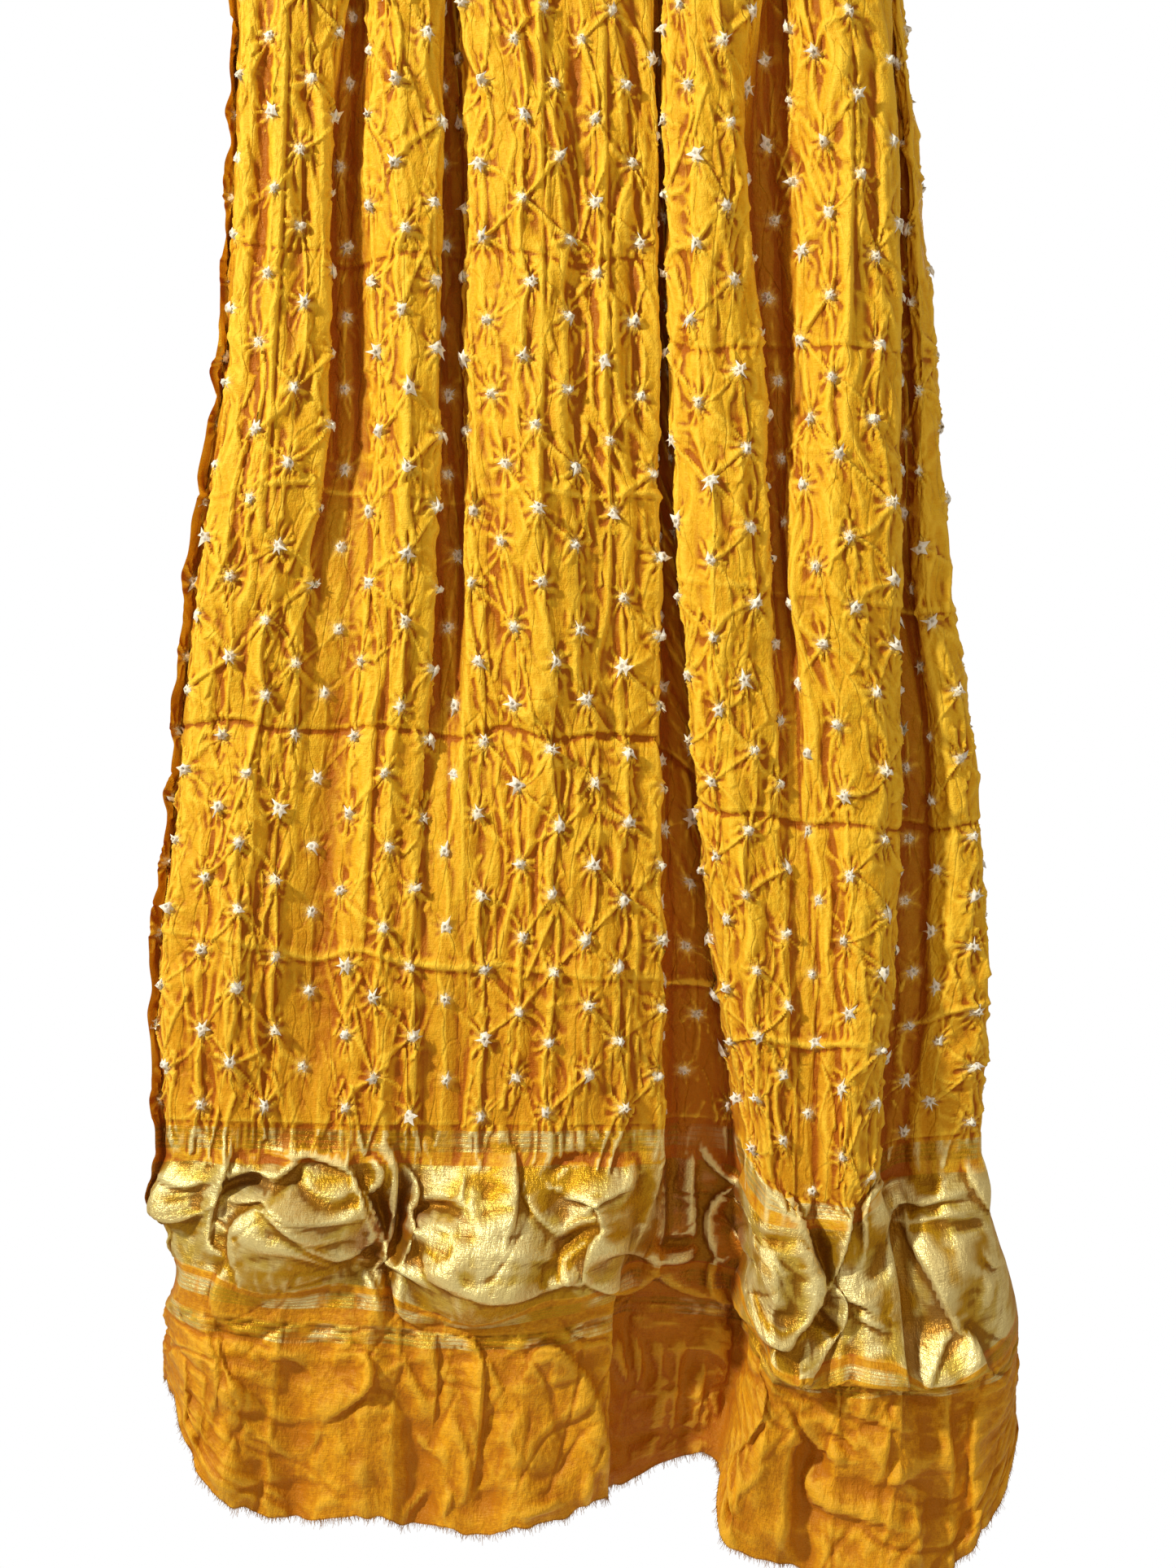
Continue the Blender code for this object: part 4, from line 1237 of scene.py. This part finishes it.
def banded_material(name, stripes, light, deep, wide_stripe, crease, crest, crest_highlight_share):
    """Silk crossed by woven metal-thread stripes at given heights of the flat cloth."""
    recipe = Recipe(name)
    flat = recipe.attribute("flat_mm", "Vector")
    across, up, _ = recipe.parts(flat)
    silk, _, grain = dyed_silk(recipe, flat, light, deep)
    if wide_stripe is None:
        # Painted shade darkens the left end of the end panel.
        silk = recipe.mix(recipe.range(across, 20, 80, 0.6, 0.0), silk, PANEL_LEFT_SHADE)
    metal = 0.0
    for foot, head in stripes:
        lines_per_mm = STRIPE_LINES / (head - foot)
        wave = recipe.math("MULTIPLY", recipe.math("SUBTRACT", up, foot), 2 * math.pi * lines_per_mm)
        gap = recipe.range(recipe.math("SINE", wave), -0.95, -0.1, 0.35, 1.0)
        metal = recipe.math("MAXIMUM", metal, recipe.math("MULTIPLY", stripe(recipe, up, foot, head), gap))
    rubbed = recipe.range(recipe.noise(flat, 0.075, 0.02, 2.0, 0.5), 0.34, 0.46, 0.4, 1.0)
    metal = recipe.math("MULTIPLY", metal, rubbed)
    if wide_stripe is not None:
        metal = recipe.math("MAXIMUM", metal, stripe(recipe, up, *wide_stripe))
    metal_colour, lines = metal_look(recipe, flat)
    colour = recipe.mix(metal, silk, metal_colour)
    # Painted shade in the creases: the silk's crease shade, a darker brown where there is metal thread.
    crease = recipe.mix(metal, crease, METAL_HOLLOW_SHADE)
    colour = painted_fold_shading(recipe, colour, crest, crest_highlight_share, crease, 0.8)
    return recipe.finish({
        "Base Color": colour, "Metallic": recipe.math("MULTIPLY", metal, METAL_SHARE),
        "Roughness": recipe.total(recipe.range(metal, 0.0, 1.0, 0.42, 0.30), (lines, 0.10)),
        "Sheen Weight": 0.10, "Sheen Roughness": 0.4, "Sheen Tint": (1.0, 0.8, 0.45, 1.0),
        "Specular IOR Level": 0.34, "Specular Tint": (1.0, 0.82, 0.40, 1.0),
        "Normal": weave_bump(recipe, flat, lines, grain)})


def tip_material():
    """Undyed white silk of the tied tips, with painted shade in their pits."""
    recipe = Recipe("undyed_tip")
    spots = recipe.noise(recipe.node("TexCoord", {}, "Object"), 900, 900)
    colour = recipe.mix(recipe.range(spots, 0.35, 0.7), TIP_WHITE, TIP_CREAM)
    colour = recipe.mix(recipe.attribute("pit", "Fac"), colour, TIP_PIT_SHADE)
    return recipe.finish({"Base Color": colour, "Roughness": 0.6, "Sheen Weight": 0.2,
                          "Normal": recipe.bump(spots, 0.0003, 0.5)})


def thread_material():
    """The dyed silk of the loose threads."""
    recipe = Recipe("frayed_thread")
    place = recipe.node("TexCoord", {}, "Object")
    tone = recipe.noise(place, 160, 160)
    return recipe.finish({"Base Color": recipe.mix(tone, THREAD_LIGHT, THREAD_DEEP),
                          "Roughness": recipe.range(tone, 0.3, 0.7, 0.5, 0.7),
                          "Normal": recipe.bump(recipe.noise(place, 4000, 900), 0.0001, 0.5)})


def floor_material():
    """Pale floor that fades out away from the cloth."""
    recipe = Recipe("pale_floor")
    place = recipe.node("TexCoord", {}, "Object")
    far = recipe.node("VectorMath", {0: place}, "Value", operation="LENGTH")
    return recipe.finish({"Base Color": (0.86, 0.86, 0.86, 1.0),
                          "Alpha": recipe.range(far, 0.25, 0.7, 1.0, 0.0),
                          "Roughness": recipe.range(recipe.noise(place, 9, 9), 0.3, 0.7, 0.55, 0.7)})


def mesh_object(name, points, faces, material):
    mesh = bpy.data.meshes.new(name)
    mesh.from_pydata([tuple(point) for point in points], [], faces)
    mesh.shade_smooth()
    mesh.materials.append(material)
    piece = bpy.data.objects.new(name, mesh)
    bpy.context.scene.collection.objects.link(piece)
    return piece


def grid_spot(grid, place):
    """Row and column of the grid point nearest to a place of the flat cloth."""
    column = int(np.clip(round(place[0] / grid.step_across), 0, len(grid.across) - 1))
    return int(np.argmin(np.abs(grid.height[:, column] - place[1]))), column


def ring_faces(start, rings, count):
    """Faces between neighbouring rings of count points each."""
    faces = []
    for low in range(start, start + (rings - 1) * count, count):
        for turn in range(count):
            after = (turn + 1) % count
            faces.append((low + turn, low + after, low + count + after, low + count + turn))
    return faces


def tied_tips(grid, surface, normals, knots, material):
    """The white tied tips: small crumpled stars with a pit, standing on the cloth."""
    chance = np.random.default_rng(SEED + 3)
    points, faces, pits = [], [], []
    for place in knots:
        row, column = grid_spot(grid, place)
        centre = surface[row, column]
        out = unit(normals[row, column] + (0, -0.35, 0) + chance.uniform(-0.25, 0.25, 3))
        side = unit(np.cross(out, (0.0, 0.0, 1.0)))
        up = np.cross(side, out)
        size = TIP_RADIUS * chance.uniform(0.55, 1.2)
        tall = TIP_HEIGHT * chance.uniform(0.7, 1.1)
        count = 2 * int(chance.integers(5, 8))
        reach = chance.uniform(0.35, 1.35, count)
        reach[1::2] *= 0.5
        turn = 2 * np.pi * (np.arange(count) + chance.uniform(-0.25, 0.25, count)) / count
        faces += ring_faces(len(points), len(TIP_RINGS), count)
        for ring in TIP_RINGS:
            spread = size * ring.reach * (1 + (reach - 1) * (0.25 + 0.75 * ring.reach))
            for angle, length, wave in zip(turn, spread, chance.uniform(-0.12, 0.12, count)):
                points.append(centre + length * (math.cos(angle) * side + 1.1 * math.sin(angle) * up)
                              + (tall * (ring.lift + wave) - 0.5) * out)
                pits.append(ring.pit)
        last = len(points) - count
        points.append(centre + (tall * TIP_PIT_LIFT - 0.5) * out)
        pits.append(1.0)
        faces += [(last + spoke, last + (spoke + 1) % count, last + count) for spoke in range(count)]
    piece = mesh_object("tied_tips", np.array(points) * MM, faces, material)
    # The pit attribute carries the painted shade of each tip's pit.
    layer = piece.data.attributes.new("pit", "FLOAT", "POINT")
    layer.data.foreach_set("value", np.array(pits, np.float32))
    return piece


def frayed_threads(grid, surface, material):
    """Loose warp ends along the raw hem: thin ribbons of three sides."""
    chance = np.random.default_rng(SEED + 4)
    turns = (0, 2 * math.pi / 3, 4 * math.pi / 3)
    corners = [np.array([math.cos(turn), math.sin(turn), 0.0]) for turn in turns]
    points, faces = [], []
    for across in np.arange(1.0, FLAT_WIDTH - 1.0, FRAY_PITCH):
        column = across / grid.step_across + chance.uniform(-0.4, 0.4)
        column = min(max(column, 0.0), len(grid.across) - 1.001)
        low, part = int(column), column - int(column)
        root, above = (surface[row, low] * (1 - part) + surface[row, low + 1] * part for row in (0, 3))
        way = unit(root - above) + chance.uniform(-0.35, 0.35, 3) + (0, 0, -0.3)
        curl = chance.uniform(-0.5, 0.5, 3)
        length = FRAY_LENGTH * chance.uniform(0.35, 1.0) ** 1.5
        thick = chance.uniform(0.15, 0.26)
        faces += ring_faces(len(points), 4, 3)
        for along in (0, 1 / 3, 2 / 3, 1):
            middle = root - 0.6 * way + length * (way * along + curl * along * along)
            points += [middle + thick * (1 - 0.5 * along) * corner for corner in corners]
    return mesh_object("frayed_hem", np.array(points) * MM, faces, material)


def sunken_field(surface):
    """How far each place lies behind the folds around it, for the painted valley shade: 1 deep in a valley, 0
    on the folds.
    """
    depth = surface[..., 1].astype(np.float32)
    around = box_mean(depth, 6, int(VALLEY_REACH / STEP_ACROSS))
    return clipped((depth - around - VALLEY_START) / VALLEY_DEPTH)


def hollow_field(surface, normals):
    """How hollow each place is: towards 1 at the bottom of a crease, towards -1 on a crest."""
    hollow = np.zeros(surface.shape[:2])
    for half, full in ((2, 0.7), (9, 5.0)):
        mean = box_mean(surface.astype(np.float32), half, half)
        hollow += ((mean - surface) * normals).sum(axis=-1) / full
    return np.clip(hollow, -1.0, 1.0)


def add_floor(material):
    bpy.ops.mesh.primitive_circle_add(vertices=96, radius=0.75, fill_type="NGON", location=(0, 0, FLOOR_Z))
    floor = bpy.context.object
    floor.name = "floor"
    floor.data.materials.append(material)


grid = FlatGrid()
place_camera()
light_studio()
knots = knot_places(grid)
nearest = nearest_knot(grid, knots)
surface = crinkled_surface(grid, knots, nearest)
normals = grid_normals(surface)
# hollow drives the painted crest highlight and crease shade; sunken drives the painted valley shade.
fields = {
    "flat_mm": np.stack([grid.wide, grid.height, np.zeros(grid.wide.shape)], axis=-1),
    "from_knot": nearest, "hollow": hollow_field(surface, normals), "sunken": sunken_field(surface)}
silk = silk_material()
# The band and the end panel also get painted highlight on their crests and painted shade in their creases.
band = banded_material("metal_thread_band", BAND_STRIPES, FIELD_LIGHT, FIELD_LOW, WIDE_STRIPE,
                       CREASE_SHADE, METAL_HIGHLIGHT, 0.75)
panel = banded_material("end_panel_silk", PANEL_STRIPES, PANEL_LIGHT, PANEL_DEEP, None,
                        PANEL_CREASE_SHADE, CREST_HIGHLIGHT, 0.3)

# The sheet pieces: name, heights of the lower and upper edges, and material.
PIECES = (
    ("end_panel", HEM, BAND_FOOT, panel),
    ("metal_band", BAND_FOOT, STRIPE_TOP, band),
    ("field_foot", STRIPE_TOP, CREASE_2, silk),
    ("field_low", CREASE_2, CREASE_1, silk),
    ("field_middle", CREASE_1, CREASE_0, silk),
    ("field_upper", CREASE_0, TOP_CREASE, silk),
    ("field_top", TOP_CREASE, grid.levels[-1], silk),
)
for name, foot, head, material in PIECES:
    first, last = (int(np.searchsorted(grid.levels, height - 0.01)) for height in (foot, head))
    piece = mesh_from_grid(name, surface, normals, slice(first, last + 1), fields)
    piece.data.materials.append(material)
    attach(piece, "root")
    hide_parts("cloth")

for piece in (tied_tips(grid, surface, normals, knots, tip_material()),
              frayed_threads(grid, surface, thread_material())):
    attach(piece, "root")
add_floor(floor_material())
